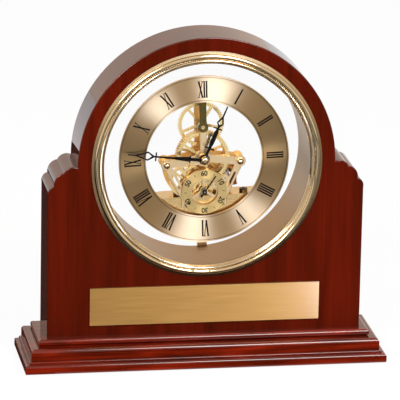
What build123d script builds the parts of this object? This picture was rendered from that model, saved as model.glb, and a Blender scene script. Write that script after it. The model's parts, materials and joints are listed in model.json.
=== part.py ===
from build123d import *
import os
from math import acos, atan2, cos, degrees, hypot, pi, radians, sin, tan

# Tambour mantel clock with an open skeleton movement. Millimetres, +Z up, front towards -Y.
# The origin is on the underside, in the middle of the base's footprint.

# Case: an arch round the drum, over rounded shoulder steps; each step is a run inwards and a rise
arch_margin = 9.0
shoulder_steps = ((3.8, 6.3), (6.4, 8.6), (9.0, 3.4))
step_bulge = 0.2
case_edge_round = 0.7

# Base, from the bottom up; overhangs are measured from the case
felt_thick, felt_inset = 0.8, 4.0
bottom_height, bottom_round, bottom_under_round = 5.9, 1.7, 0.85
bottom_side, bottom_front, bottom_rear = 15.8, 16.2, 10.5
foot_height, foot_reach, foot_round = 1.6, 1.4, 0.7
middle_height, middle_round = 7.8, 2.6
middle_side, middle_front, middle_rear = 11.6, 11.8, 7.6
top_height, top_edge_flat = 4.1, 0.3
top_side, top_front, top_rear = 6.0, 4.5, 4.2
screw_spacing, screw_radius, screw_bite = 120.0, 2.0, 16.0
screw_head_radius, screw_head_height = 4.0, 2.6

# Engraving plate on its tape
plate_width, plate_height, plate_thick = 152.4, 25.4, 0.8
plate_lift, plate_to_bezel = 8.0, 6.0
tape_thick, tape_inset = 0.4, 2.0

# Drum and bezel
tube_inner, tube_wall = 68.5, 1.2
lens_thick, lens_play, lens_set = 1.8, 0.1, 1.2
gasket_thick, gasket_width = 0.6, 0.9
bezel_reach = 6.3
flange_width, flange_edge, flange_rise = 1.6, 0.5, 0.9
lip_cover, lip_edge_rise = 0.5, 0.4
lip_ledge, lip_ledge_rise = 0.8, 0.6
lip_ridge, lip_ridge_rise = 0.4, 0.85
roll_radius, roll_foot_angle, roll_end_angle = 1.75, 10.0, 25.0
milled_radius, milled_inset, milled_rise, milled_angle = 0.85, 1.95, 1.15, 20.0
spigot_depth, spigot_wall = 6.0, 1.5
disc_thick, disc_play = 3.0, 0.1
rear_flange, rear_ring_thick, drum_stand_out = 5.7, 1.6, 8.5
rear_screw_count, rear_screw_angle = 4, 45.0
rear_screw_radius, rear_screw_head, rear_screw_head_height, rear_screw_bite = 1.0, 1.9, 1.2, 8.0
tab_width, tab_reach, tab_thick, tab_grip, tab_x = 6.4, 2.4, 1.4, 1.6, 2.5

# Dial; depths are measured back from the case's front face, and the insert sits a little anticlockwise
insert_lean = 2.0
ring_outer, ring_inner = 56.3, 38.5
ring_front, ring_thick = 13.0, 1.2
rim_width, rim_height = 0.9, 0.25
bridge_width, bridge_thick, bridge_boss, bridge_lap, bridge_hole = 4.6, 1.0, 3.4, 9.0, 1.3
ring_screw_laps = (2.5, 8.5)
ring_screw_radius, ring_screw_head, ring_screw_head_height, ring_screw_bite = 0.7, 1.3, 0.7, 0.8
ring_post_angles, ring_post_radius = (-135.0, -45.0), 2.2
sub_dial_outer, sub_dial_inner, sub_dial_thick = 15.0, 9.0, 0.6
sub_rim_width, sub_rim_height = 0.6, 0.15
sub_post_count, sub_post_angle, sub_post_radius, sub_post_length = 3, 60.0, 0.8, 1.3

# Movement frame
plate_gauge, back_room = 1.4, 0.4
wheel_gauge, wheel_space, layer_count, arbor_room = 1.1, 0.55, 6, 0.7
ear_x, ear_z, ear_radius, arm_width = 24.4, -3.5, 3.6, 5.0
hub_boss, pivot_boss, edge_break = 5.4, 2.6, 0.3
leg_foot_x, leg_foot_lap, leg_width = 11.5, 3.3, 4.8
leg_slot_start, leg_slot_end, leg_slot_width = 0.3, 0.62, 1.5
rear_leg_bow, rear_leg_width = 4.0, 2.6
seat_margin, seat_inner, seat_spoke, seat_spoke_count = 0.5, 8.2, 1.8, 3
foot_plate_width, foot_plate_height = 30.0, 7.0
pillar_radius, pillar_spigot, spigot_reach = 1.6, 1.0, 1.4
ball_radius, ball_rise = 2.2, 3.0
stem_width, rear_stem_width = 4.6, 7.6
top_post_lap, top_post_radius = 5.5, 1.6

# Battery box under the movement
box_wall, box_room, shelf_drop = 1.2, 1.3, 26.0
cell_radius, cell_length, cell_room, cell_back_gap = 5.25, 44.5, 2.85, 1.9
cell_nub_radius, cell_nub_length = 1.9, 0.8
window_side_room, window_end_room = 0.95, 2.75
contact_reach, contact_thick, contact_rise, contact_foot = 4.0, 0.4, 9.0, 4.0
door_lip, door_lip_thick, door_play, door_seat_gap, door_plug = 2.0, 1.4, 0.3, 0.05, 1.5
door_grip_width, door_grip_height, door_grip_reach = 16.0, 2.4, 1.4
post_angles = (-135.0, -90.0, -45.0)
post_radius, post_sink, post_screw_radius, post_screw_bite = 2.4, 0.6, 1.0, 7.0
post_screw_head, post_screw_head_height = 1.9, 1.0
foot_screw_lower, foot_screw_short = 1.5, 0.2
foot_screw_radius, foot_screw_head, foot_screw_head_height = 0.9, 1.7, 0.9
shelf_bolt_spots = ((27.2, 4.8), (-16.5, 6.6))
shelf_bolt_radius, shelf_bolt_bite = 1.1, 2.4
shelf_nut_width, shelf_nut_height, shelf_nut_stud, nut_sides = 5.4, 2.3, 0.4, 6
board_width, board_height, board_thick, board_room = 36.0, 12.0, 1.0, 0.8
crystal_radius, crystal_length, crystal_lower = 0.9, 6.0, 4.3

# Wheels: tooth counts and centre distances
cannon_teeth, minute_wheel_teeth = 24, 60
minute_pinion_teeth, hour_teeth = 15, 72
leaf_count = 8
centre_teeth, third_teeth, seconds_teeth, intermediate_teeth = 64, 60, 40, 48
minute_rise, seconds_drop = 21.0, 22.4
third_from_centre, third_from_seconds = 19.0, 12.9
seconds_step, seconds_step_angle = 8.4, 25.0
rotor_step, rotor_step_angle = 7.84, 35.0
pressure_angle = 20.0
pinion_tip, leaf_mate_tip, wheel_tip = 1.0, 0.45, 0.8
root_room, tooth_thinning = 0.25, 0.1
spoke_width, rim_depth = 1.8, 2.3
small_spokes, large_spokes = 4, 5
small_hub, third_hub, centre_hub, hour_wheel_hub = 2.0, 2.6, 3.6, 5.4
centre_spoke_turn, minute_spoke_turn = 18.0, -15.0
fit_play = 0.04
pivot_radius, arbor_radius, pivot_share = 0.5, 0.8, 0.75
centre_radius, cannon_pipe_radius, hour_pipe_radius = 1.2, 2.0, 3.0
collar_radius, collar_length = 2.2, 0.5
knob_radius, knob_length, knob_gap, knob_flutes, knob_flute_radius = 4.6, 4.6, 0.8, 16, 0.45

# Stepping motor
magnet_radius, magnet_length, magnet_gap = 2.2, 1.8, 0.4
stator_thick, stator_wall, stator_arm, stator_post_radius = 1.0, 1.6, 3.0, 1.0
coil_x, coil_top, coil_length, coil_radius = 20.6, -9.6, 10.0, 2.1
coil_flange, coil_flange_thick = 2.5, 0.7

# Hands, just past a quarter to one: marks are shares of a hand's length, each with a half width,
# a cross has a bar width too, and a diamond is its start, widest place, end and half width
hour_angle, minute_angle, seconds_angle = 24.5, 278.0, 36.5
hand_thick, seconds_hand_gap, hour_hand_gap, minute_hand_gap = 0.6, 0.55, 0.25, 1.2
minute_length, hour_length, seconds_length, seconds_tail = 51.0, 38.4, 12.9, 4.2
minute_hub, hour_hub, seconds_hub = 3.0, 3.6, 1.6
minute_blade = ((0.0, 1.1), (0.19, 1.0), (0.2, 1.65), (0.386, 0.95), (0.39, 0.7), (0.69, 0.5))
hour_blade = ((0.0, 0.9), (0.215, 0.9), (0.33, 1.45), (0.51, 1.35), (0.58, 0.65), (0.64, 0.5))
minute_crosses = ((0.193, 2.5, 0.75), (0.637, 2.9, 0.85))
hour_crosses = ((0.215, 3.4, 1.0), (0.585, 3.0, 0.85))
minute_diamond = (0.66, 0.742, 0.902, 3.1)
hour_diamond = (0.612, 0.685, 0.805, 2.4)
diamond_side, diamond_point, tip_half, tip_end_half = 0.95, 1.5, 0.5, 0.4
seconds_tail_half, seconds_stem_half, seconds_tip_half = 0.5, 0.4, 0.2
hand_nut_radius, hand_nut_height, hand_nut_round, arbor_stub = 2.8, 2.6, 2.2, 1.4

# Sizes that follow from the ones above
tube_outer = tube_inner + tube_wall
lens_radius = tube_outer - 2 * lens_play
rebate_radius = tube_outer - lens_play
bezel_outer = tube_outer + bezel_reach
lip_radius = tube_inner - lip_cover
rear_ring_outer = tube_outer + rear_flange
rear_screw_circle = (tube_outer + rear_ring_outer) / 2
arch_radius = bezel_outer + arch_margin
case_width = 2 * (arch_radius + sum(run for run, _ in shoulder_steps))
dial_rise = plate_lift + plate_height + plate_to_bezel + bezel_outer
top_round = (top_height - top_edge_flat) / 2
plate_gap = layer_count * (wheel_gauge + wheel_space) + arbor_room
seat_outer = sub_dial_outer - seat_margin
sub_post_circle = (sub_dial_outer + sub_dial_inner) / 2
window_width = cell_length + 2 * window_end_room
window_height = 2 * (cell_radius + window_side_room)
cell_drop = shelf_drop + box_wall + cell_room + cell_radius
contact_corner = hypot(cell_length / 2 + contact_foot, cell_drop + contact_rise / 2)
box_radius = contact_corner + box_room + box_wall
foot_screw_bite = plate_gauge + box_wall - foot_screw_short
stator_bore = magnet_radius + magnet_gap
coil_bottom = coil_top - coil_length

# Depths behind the case's front face
lens_front = lens_set - lens_thick
tube_front = lens_set + gasket_thick
ring_back = ring_front + ring_thick
bridge_back = ring_back + bridge_thick
front_plate_back = bridge_back + plate_gauge
rear_plate_front = front_plate_back + plate_gap
rear_plate_back = rear_plate_front + plate_gauge
contact_front = front_plate_back + box_wall
cell_back = contact_front + board_thick + board_room + 2 * cell_radius
tube_back = max(rear_plate_back + ball_rise + back_room, cell_back + cell_back_gap)
case_depth = tube_back + disc_thick
drum_back = case_depth + drum_stand_out
cell_depth = tube_back - cell_back_gap - cell_radius
sub_dial_back = bridge_back - sub_post_length
seconds_hand_back = sub_dial_back - sub_dial_thick - seconds_hand_gap
hour_hand_back = seconds_hand_back - hand_thick - hour_hand_gap
minute_hand_back = hour_hand_back - hand_thick - minute_hand_gap
first_layer = front_plate_back + wheel_space / 2 + wheel_gauge
layer_backs = [first_layer + i * (wheel_gauge + wheel_space) for i in range(layer_count)]
hour_layer, third_layer, seconds_layer, intermediate_layer, cannon_layer, centre_layer = layer_backs
pivot_front = front_plate_back - pivot_share * plate_gauge
pivot_back = rear_plate_front + pivot_share * plate_gauge
arbor_front = front_plate_back + wheel_space / 4
arbor_back = rear_plate_front - wheel_space / 4
stator_depth = cannon_layer
knob_front = case_depth + knob_gap

# Heights, and where the front face is
front_y = bottom_front - (case_depth + bottom_front + bottom_rear) / 2
bottom_z = felt_thick
foot_z = bottom_z + bottom_height
middle_z = foot_z + foot_height
top_z = middle_z + middle_height
case_z = top_z + top_height
dial_z = case_z + dial_rise
dial_axis = Axis((0, front_y, dial_z), (0, 1, 0))


def ring_spots(radius, angles):
    """Points of the dial at a radius and at angles from its right-hand side."""
    return [(radius * cos(radians(angle)), radius * sin(radians(angle))) for angle in angles]


# Spots on the dial, right and up from its centre
centre_spot = (0.0, 0.0)
minute_spot = (0.0, minute_rise)
seconds_spot = (0.0, -seconds_drop)
third_z = (third_from_seconds**2 - third_from_centre**2 - seconds_drop**2) / (2 * seconds_drop)
third_spot = (-((third_from_centre**2 - third_z**2) ** 0.5), third_z)
intermediate_spot = (
    seconds_spot[0] + seconds_step * cos(radians(seconds_step_angle)),
    seconds_spot[1] + seconds_step * sin(radians(seconds_step_angle)),
)
rotor_spot = (
    intermediate_spot[0] + rotor_step * cos(radians(rotor_step_angle)),
    intermediate_spot[1] + rotor_step * sin(radians(rotor_step_angle)),
)
plain_pivots = (minute_spot, third_spot, seconds_spot, intermediate_spot, rotor_spot)
ears = ((-ear_x, ear_z), (ear_x, ear_z))
leg_foot_z = -shelf_drop - leg_foot_lap
leg_feet = ((-leg_foot_x, leg_foot_z), (leg_foot_x, leg_foot_z))
foot_screws = [(x, z - foot_screw_lower) for x, z in leg_feet]
post_spots = ring_spots(box_radius - box_wall - post_radius + post_sink, post_angles)
ring_post_spots = ring_spots((ring_outer + ring_inner) / 2, ring_post_angles)
ring_screw_spots = [(0, ring_inner + lap) for lap in ring_screw_laps]
top_post_spot = (0, ring_inner + top_post_lap)
cell_spot = (0.0, -cell_drop)
coil_heights = (coil_top + coil_flange_thick / 2, coil_bottom - coil_flange_thick / 2)
coil_posts = [(coil_x, height) for height in coil_heights]


def dial_plane(depth, spot=centre_spot, turn=0.0):
    """A plane facing the front, at a depth behind the case's front face, turned clockwise about a spot."""
    right = (cos(radians(turn)), 0, -sin(radians(turn)))
    return Plane(origin=(spot[0], front_y + depth, dial_z + spot[1]), x_dir=right, z_dir=(0, -1, 0))


def section_plane(spot=centre_spot):
    """A level plane through a spot of the dial: x is the radius, y is the depth behind the front face."""
    return Plane(origin=(spot[0], front_y, dial_z + spot[1]))


def bar(start, end, width, mode=Mode.ADD):
    """Draw a round-ended bar between two points in the open sketch."""
    run = (end[0] - start[0], end[1] - start[1])
    with Locations(((start[0] + end[0]) / 2, (start[1] + end[1]) / 2)):
        SlotCenterToCenter(hypot(*run), width, rotation=degrees(atan2(run[1], run[0])), mode=mode)


def bow(start, end, bulge, width):
    """Draw a strip between two points in the open sketch, bent to the left of its run by a bulge."""
    run = (end[0] - start[0], end[1] - start[1])
    left = (-run[1] / hypot(*run), run[0] / hypot(*run))

    def beside(share, reach):
        return (start[0] + share * run[0] + reach * left[0], start[1] + share * run[1] + reach * left[1])

    with BuildLine() as path:
        for edge in (width / 2, -width / 2):
            ThreePointArc(beside(0, edge), beside(0.5, bulge + edge), beside(1, edge))
        for share in (0, 1):
            Line(beside(share, width / 2), beside(share, -width / 2))
    make_face(path.edges())


def along(start, end, share):
    """The point that lies a share of the way between two points."""
    return (start[0] + share * (end[0] - start[0]), start[1] + share * (end[1] - start[1]))


def discs(spots, radius, mode=Mode.ADD):
    """Draw equal discs at several points in the open sketch."""
    with Locations(*spots):
        Circle(radius, mode=mode)


def outline(points, mode=Mode.ADD):
    """Draw a straight-sided face in the open sketch."""
    with BuildLine() as path:
        Polyline(*points, close=True)
    make_face(path.edges(), mode=mode)


def pair_module(distance, teeth, mate_teeth):
    """The module of two meshing wheels at a centre distance."""
    return 2 * distance / (teeth + mate_teeth)


def mesh_turn(teeth, from_spot, to_spot, mate_teeth):
    """Angle of the mate's first tooth when the first wheel has a tooth at angle zero."""
    way = degrees(atan2(to_spot[1] - from_spot[1], to_spot[0] - from_spot[0]))
    share = -way * teeth / 360 + 0.5
    return way + 180 - share * 360 / mate_teeth


def long_edges(face):
    """The edges of a plate's outer boundary, without its holes."""
    return face.outer_wire().edges()


def gear(teeth, module, tip, mate_tip, turn=0.0):
    """Draw a toothed disc with involute flanks in the open sketch; tip heights are in modules."""
    pitch = teeth * module / 2
    base = pitch * cos(radians(pressure_angle))
    root = pitch - (mate_tip + root_room) * module
    top = pitch + tip * module
    involute = tan(radians(pressure_angle)) - radians(pressure_angle)
    half = pi / (2 * teeth) - tooth_thinning * module / (2 * pitch) + involute

    def half_angle(radius):
        lean = acos(min(1.0, base / radius))
        return half - tan(lean) + lean

    flank = [root, (max(root, base) + pitch) / 2, pitch, (pitch + top) / 2, top]
    if root < base:
        flank.insert(1, base)
    points = []
    for i in range(teeth):
        middle = radians(turn) + 2 * pi * i / teeth
        rise = [(radius, middle - half_angle(radius)) for radius in flank]
        fall = [(radius, middle + half_angle(radius)) for radius in reversed(flank)]
        points += [(radius * cos(angle), radius * sin(angle)) for radius, angle in rise + fall]
    outline(points)


def spokes(count, hub, rim, bore, turn=0.0):
    """Pierce the wheel in the open sketch between its hub and its rim, leaving spokes."""
    Circle(rim, mode=Mode.SUBTRACT)
    Circle(hub)
    with PolarLocations((hub + rim) / 2, count, start_angle=turn):
        Rectangle(rim - hub + spoke_width, spoke_width)
    Circle(bore, mode=Mode.SUBTRACT)


def rod(depth_front, depth_back, spot, radius, bore=0.0, mode=Mode.ADD):
    """Extrude a round rod between two depths in the open part."""
    with BuildSketch(dial_plane(depth_back, spot)) as face:
        Circle(radius)
        if bore:
            Circle(bore, mode=Mode.SUBTRACT)
    extrude(face.sketch, amount=depth_back - depth_front, mode=mode)


def pinion(spot, leaf_back, leaf_module, turn, front=pivot_front):
    """An arbor with leaves and a pivot at each end, in the open part."""
    with BuildSketch(dial_plane(leaf_back + wheel_space / 4, spot)) as face:
        gear(leaf_count, leaf_module, pinion_tip, leaf_mate_tip, turn)
    extrude(face.sketch, amount=wheel_gauge + wheel_space / 2)
    rod(arbor_front, arbor_back, spot, arbor_radius)
    rod(front, pivot_back, spot, pivot_radius)


def base_tier(z, height, side, front, rear):
    """A base board under the case with the given overhangs, in the open part."""
    y_front = front_y - front
    y_rear = front_y + case_depth + rear
    with BuildSketch(Plane.XY.offset(z)) as face:
        with Locations((0, (y_front + y_rear) / 2)):
            Rectangle(case_width + 2 * side, y_rear - y_front)
    extrude(face.sketch, amount=height)


base_screw_y = front_y + case_depth / 2
base_screw_spots = ((-screw_spacing / 2, base_screw_y), (screw_spacing / 2, base_screw_y))


def screw_bores(z, depth, radius):
    """Bore the two base screw holes from a height upwards in the open part."""
    with BuildSketch(Plane.XY.offset(z)) as face:
        discs(base_screw_spots, radius)
    extrude(face.sketch, amount=depth, mode=Mode.SUBTRACT)


def step_points(side):
    """Corner and mid points of the shoulder's rounded steps, from the outside in, on one side."""
    x = case_width / 2
    z = dial_rise - sum(rise for _, rise in shoulder_steps)
    corners = [(x, z)]
    for run, rise in shoulder_steps:
        x -= run
        z += rise
        corners.append((x, z))
    middles = [
        ((a[0] + b[0]) / 2 + step_bulge * (b[1] - a[1]), (a[1] + b[1]) / 2 + step_bulge * (a[0] - b[0]))
        for a, b in zip(corners, corners[1:])
    ]
    return [(side * p[0], p[1]) for p in corners], [(side * p[0], p[1]) for p in middles]


# Wooden case
right_corners, right_middles = step_points(1)
left_corners, left_middles = step_points(-1)
with BuildPart() as case_body:
    with BuildSketch(Plane(origin=(0, front_y + case_depth, case_z), x_dir=(1, 0, 0), z_dir=(0, -1, 0))):
        with BuildLine():
            Polyline(left_corners[0], (-case_width / 2, 0), (case_width / 2, 0), right_corners[0])
            for corners, middles in ((right_corners, right_middles), (left_corners, left_middles)):
                for start, middle, end in zip(corners, middles, corners[1:]):
                    ThreePointArc(start, middle, end)
            ThreePointArc(right_corners[-1], (0, dial_rise + arch_radius), left_corners[-1])
        make_face()
    extrude(amount=case_depth)
    outer_edges = [
        edge
        for face in (case_body.faces().sort_by(Axis.Y)[0], case_body.faces().sort_by(Axis.Y)[-1])
        for edge in face.edges()
        if edge.center().Z > case_z + case_edge_round
    ]
    fillet(outer_edges, case_edge_round)
    rod(0, case_depth, centre_spot, tube_outer, mode=Mode.SUBTRACT)
    rod(0, spigot_depth, centre_spot, tube_outer + spigot_wall, mode=Mode.SUBTRACT)
    with BuildSketch(dial_plane(case_depth)):
        with PolarLocations(rear_screw_circle, rear_screw_count, start_angle=rear_screw_angle):
            Circle(rear_screw_radius)
    extrude(amount=rear_screw_bite, mode=Mode.SUBTRACT)
    screw_bores(case_z, screw_bite, screw_radius)

# Base boards
with BuildPart() as base_top_tier:
    base_tier(top_z, top_height, top_side, top_front, top_rear)
    tier_ends = base_top_tier.faces().sort_by(Axis.Z)
    fillet(tier_ends[0].edges() + tier_ends[-1].edges(), top_round)
    screw_bores(top_z, top_height, screw_radius)

with BuildPart() as base_middle_tier:
    foot_sides = (middle_side + foot_reach, middle_front + foot_reach, middle_rear + foot_reach)
    base_tier(foot_z, foot_height, *foot_sides)
    fillet(base_middle_tier.faces().sort_by(Axis.Z)[-1].edges(), foot_round)
    base_tier(middle_z, middle_height, middle_side, middle_front, middle_rear)
    fillet(base_middle_tier.faces().sort_by(Axis.Z)[-1].edges(), middle_round)
    screw_bores(foot_z, foot_height + middle_height, screw_radius)

with BuildPart() as base_bottom_tier:
    base_tier(bottom_z, bottom_height, bottom_side, bottom_front, bottom_rear)
    tier_ends = base_bottom_tier.faces().sort_by(Axis.Z)
    fillet(tier_ends[-1].edges(), bottom_round)
    fillet(tier_ends[0].edges(), bottom_under_round)
    screw_bores(bottom_z, bottom_height, screw_radius)
    screw_bores(bottom_z, screw_head_height, screw_head_radius)

with BuildPart() as base_screws:
    with BuildSketch(Plane.XY.offset(bottom_z)):
        discs(base_screw_spots, screw_head_radius)
    extrude(amount=screw_head_height)
    with BuildSketch(Plane.XY.offset(bottom_z)):
        discs(base_screw_spots, screw_radius)
    extrude(amount=case_z + screw_bite - bottom_z)

with BuildPart() as felt_sheet:
    base_tier(0, felt_thick, bottom_side - felt_inset, bottom_front - felt_inset, bottom_rear - felt_inset)

# Engraving plate on its tape
plate_drop = dial_rise - plate_lift - plate_height / 2
with BuildPart() as plate_tape:
    with BuildSketch(dial_plane(0, (0, -plate_drop))):
        Rectangle(plate_width - 2 * tape_inset, plate_height - 2 * tape_inset)
    extrude(amount=tape_thick)

with BuildPart() as engraving_plate:
    with BuildSketch(dial_plane(-tape_thick, (0, -plate_drop))):
        Rectangle(plate_width, plate_height)
    extrude(amount=plate_thick)

# Bezel: a flat outer flange, a roll, a groove, a small milled roll and an inner lip over the lens


def round_point(centre, radius, angle, side):
    """A point of a bezel roll in its section: an angle up from level, outwards (1) or inwards (-1)."""
    reach = side * radius * cos(radians(angle))
    return (centre[0] + reach, centre[1] - radius * sin(radians(angle)))


flange_end = (bezel_outer - flange_width, -flange_rise)
roll_centre = round_point(flange_end, roll_radius, roll_foot_angle, -1)
roll_top = (roll_centre[0], roll_centre[1] - roll_radius)
roll_end = round_point(roll_centre, roll_radius, roll_end_angle, -1)
milled_centre = (lip_radius + milled_inset, lens_front - milled_rise)
milled_top = (milled_centre[0], milled_centre[1] - milled_radius)
milled_out = round_point(milled_centre, milled_radius, -milled_angle, 1)
milled_in = round_point(milled_centre, milled_radius, -milled_angle, -1)
with BuildPart() as bezel:
    with BuildSketch(section_plane()):
        with BuildLine():
            Polyline(
                milled_in,
                (lip_radius + lip_ledge, lens_front - lip_ledge_rise),
                (lip_radius + lip_ridge, lens_front - lip_ridge_rise),
                (lip_radius, lens_front - lip_edge_rise),
                (lip_radius, lens_front),
                (rebate_radius, lens_front),
                (rebate_radius, lens_set),
                (tube_outer, lens_set),
                (tube_outer, spigot_depth),
                (tube_outer + spigot_wall, spigot_depth),
                (tube_outer + spigot_wall, 0),
                (bezel_outer, 0),
                (bezel_outer, -flange_edge),
                flange_end,
            )
            ThreePointArc(flange_end, roll_top, roll_end)
            Line(roll_end, milled_out)
            ThreePointArc(milled_out, milled_top, milled_in)
        make_face()
    revolve(axis=dial_axis)

with BuildPart() as front_lens:
    rod(lens_front, lens_set, centre_spot, lens_radius)

with BuildPart() as lens_gasket:
    rod(lens_set, tube_front, centre_spot, lens_radius, lens_radius - gasket_width)

with BuildPart() as housing_tube:
    rod(tube_front, drum_back, centre_spot, tube_outer, tube_inner)

# Clear carrier disc cemented in the tube, and the ring that holds the tube at the back of the case
centre_bore = centre_radius + door_play
with BuildPart() as carrier_disc:
    with BuildSketch(dial_plane(case_depth)):
        Circle(tube_inner - disc_play)
        Circle(centre_bore, mode=Mode.SUBTRACT)
        with Locations((0, -cell_drop)):
            Rectangle(window_width, window_height, mode=Mode.SUBTRACT)
        discs(post_spots, post_screw_radius, mode=Mode.SUBTRACT)
    extrude(amount=disc_thick)

with BuildPart() as carrier_screws:
    with BuildSketch(dial_plane(case_depth + post_screw_head_height)):
        discs(post_spots, post_screw_head)
    extrude(amount=post_screw_head_height)
    with BuildSketch(dial_plane(case_depth)):
        discs(post_spots, post_screw_radius)
    extrude(amount=disc_thick + post_screw_bite)

with BuildPart() as rear_ring:
    with BuildSketch(dial_plane(case_depth + rear_ring_thick)):
        Circle(rear_ring_outer)
        Circle(tube_outer, mode=Mode.SUBTRACT)
        with PolarLocations(rear_screw_circle, rear_screw_count, start_angle=rear_screw_angle):
            Circle(rear_screw_radius, mode=Mode.SUBTRACT)
    extrude(amount=rear_ring_thick)

with BuildPart() as rear_ring_screws:
    with BuildSketch(dial_plane(case_depth + rear_ring_thick + rear_screw_head_height)):
        with PolarLocations(rear_screw_circle, rear_screw_count, start_angle=rear_screw_angle):
            Circle(rear_screw_head)
    extrude(amount=rear_screw_head_height)
    with BuildSketch(dial_plane(case_depth + rear_ring_thick)):
        with PolarLocations(rear_screw_circle, rear_screw_count, start_angle=rear_screw_angle):
            Circle(rear_screw_radius)
    extrude(amount=rear_ring_thick + rear_screw_bite)

with BuildPart() as retaining_tab:
    tab_tip = tab_reach - tube_inner
    tab_foot = disc_play - (tube_inner**2 - (abs(tab_x) + tab_width / 2) ** 2) ** 0.5
    with BuildSketch(dial_plane(drum_back + tab_thick)):
        with Locations((tab_x, (tab_tip - tube_outer) / 2)):
            Rectangle(tab_width, tab_tip + tube_outer)
    extrude(amount=tab_thick)
    with BuildSketch(dial_plane(drum_back)):
        with Locations((tab_x, (tab_tip + tab_foot) / 2)):
            Rectangle(tab_width, tab_tip - tab_foot)
    extrude(amount=tab_grip)

# Dial ring and what holds it
with BuildPart() as chapter_ring:
    rod(ring_front, ring_back, centre_spot, ring_outer, ring_inner)
    rod(ring_front - rim_height, ring_front, centre_spot, ring_outer, ring_outer - rim_width)
    rod(ring_front - rim_height, ring_front, centre_spot, ring_inner + rim_width, ring_inner)
    with BuildSketch(dial_plane(ring_back)):
        discs(ring_screw_spots, ring_screw_radius)
    extrude(amount=ring_screw_bite, mode=Mode.SUBTRACT)

with BuildPart() as ring_bridge:
    with BuildSketch(dial_plane(bridge_back)):
        bar(minute_spot, (0, ring_inner + bridge_lap), bridge_width)
        discs((minute_spot,), bridge_boss)
        discs((minute_spot,), bridge_hole, mode=Mode.SUBTRACT)
        discs(ring_screw_spots, ring_screw_radius, mode=Mode.SUBTRACT)
    extrude(amount=bridge_thick)
    chamfer(long_edges(ring_bridge.faces().sort_by(Axis.Y)[0]), edge_break)

with BuildPart() as ring_screws:
    with BuildSketch(dial_plane(bridge_back + ring_screw_head_height)):
        discs(ring_screw_spots, ring_screw_head)
    extrude(amount=ring_screw_head_height)
    with BuildSketch(dial_plane(bridge_back)):
        discs(ring_screw_spots, ring_screw_radius)
    extrude(amount=bridge_thick + ring_screw_bite)

with BuildPart() as ring_posts:
    with BuildSketch(dial_plane(front_plate_back)):
        discs(ring_post_spots, ring_post_radius)
    extrude(amount=front_plate_back - ring_back)

# Movement plates and pillars
with BuildPart() as front_plate:
    with BuildSketch(dial_plane(front_plate_back)):
        Circle(hub_boss)
        bar(centre_spot, minute_spot, stem_width)
        discs((minute_spot,), bridge_boss)
        for ear, foot in zip(ears, leg_feet):
            bar(centre_spot, ear, arm_width)
            bar(ear, foot, leg_width)
            slot_ends = (along(ear, foot, leg_slot_start), along(ear, foot, leg_slot_end))
            bar(*slot_ends, leg_slot_width, mode=Mode.SUBTRACT)
        discs(ears, ear_radius)
        with Locations((0, leg_foot_z)):
            Rectangle(foot_plate_width, foot_plate_height)
        discs((seconds_spot,), seat_outer)
        discs((seconds_spot,), seat_inner, mode=Mode.SUBTRACT)
        for i in range(seat_spoke_count):
            spoke_turn = 2 * pi * i / seat_spoke_count
            spoke_tip = (seat_inner * sin(spoke_turn), seat_inner * cos(spoke_turn) - seconds_drop)
            bar(seconds_spot, spoke_tip, seat_spoke)
        discs(plain_pivots, pivot_boss)
        Circle(hour_pipe_radius + fit_play, mode=Mode.SUBTRACT)
        discs(plain_pivots, pivot_radius + fit_play, mode=Mode.SUBTRACT)
        discs(ears, pillar_spigot, mode=Mode.SUBTRACT)
        discs(foot_screws, foot_screw_radius, mode=Mode.SUBTRACT)
    extrude(amount=plate_gauge)
    chamfer(long_edges(front_plate.faces().sort_by(Axis.Y)[0]), edge_break)

with BuildPart() as rear_plate:
    with BuildSketch(dial_plane(rear_plate_back)):
        Circle(hub_boss)
        bar(centre_spot, top_post_spot, rear_stem_width)
        for ear in ears:
            bar(centre_spot, ear, arm_width)
        discs(ears, ear_radius)
        discs((seconds_spot,), seat_outer)
        for ear, foot, side in zip(ears, leg_feet, (-1, 1)):
            bow(ear, foot, side * rear_leg_bow, rear_leg_width)
        discs(plain_pivots, pivot_boss)
        discs((minute_spot,), bridge_boss)
        for x, z in coil_posts:
            bar((x, z), (seconds_spot[0], z), arm_width)
        with Locations((0, -shelf_drop - seat_outer / 2)):
            Rectangle(2 * box_radius, seat_outer, mode=Mode.SUBTRACT)
        Circle(centre_radius + fit_play, mode=Mode.SUBTRACT)
        discs(plain_pivots, pivot_radius + fit_play, mode=Mode.SUBTRACT)
        discs(ears, pillar_spigot, mode=Mode.SUBTRACT)
    extrude(amount=plate_gauge)

with BuildPart() as top_post:
    rod(bridge_back, rear_plate_front, top_post_spot, top_post_radius)

with BuildPart() as pillars:
    with BuildSketch(dial_plane(rear_plate_front)):
        discs(ears, pillar_radius)
    extrude(amount=plate_gap)
    with BuildSketch(dial_plane(rear_plate_back + spigot_reach)):
        discs(ears, pillar_spigot)
    extrude(amount=rear_plate_back - bridge_back + 2 * spigot_reach)

with BuildPart() as pillar_nuts:
    for depth, sign in ((bridge_back, -1), (rear_plate_back, 1)):
        centre_depth = depth + sign * (ball_rise - ball_radius)
        for ear in ears:
            with Locations((ear[0], front_y + centre_depth, dial_z + ear[1])):
                Sphere(ball_radius)
    with BuildSketch(dial_plane(rear_plate_back)):
        discs(ears, ball_radius)
    extrude(amount=rear_plate_back - bridge_back, mode=Mode.SUBTRACT)
    with BuildSketch(dial_plane(rear_plate_back + spigot_reach)):
        discs(ears, pillar_spigot)
    extrude(amount=rear_plate_back - bridge_back + 2 * spigot_reach, mode=Mode.SUBTRACT)

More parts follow.
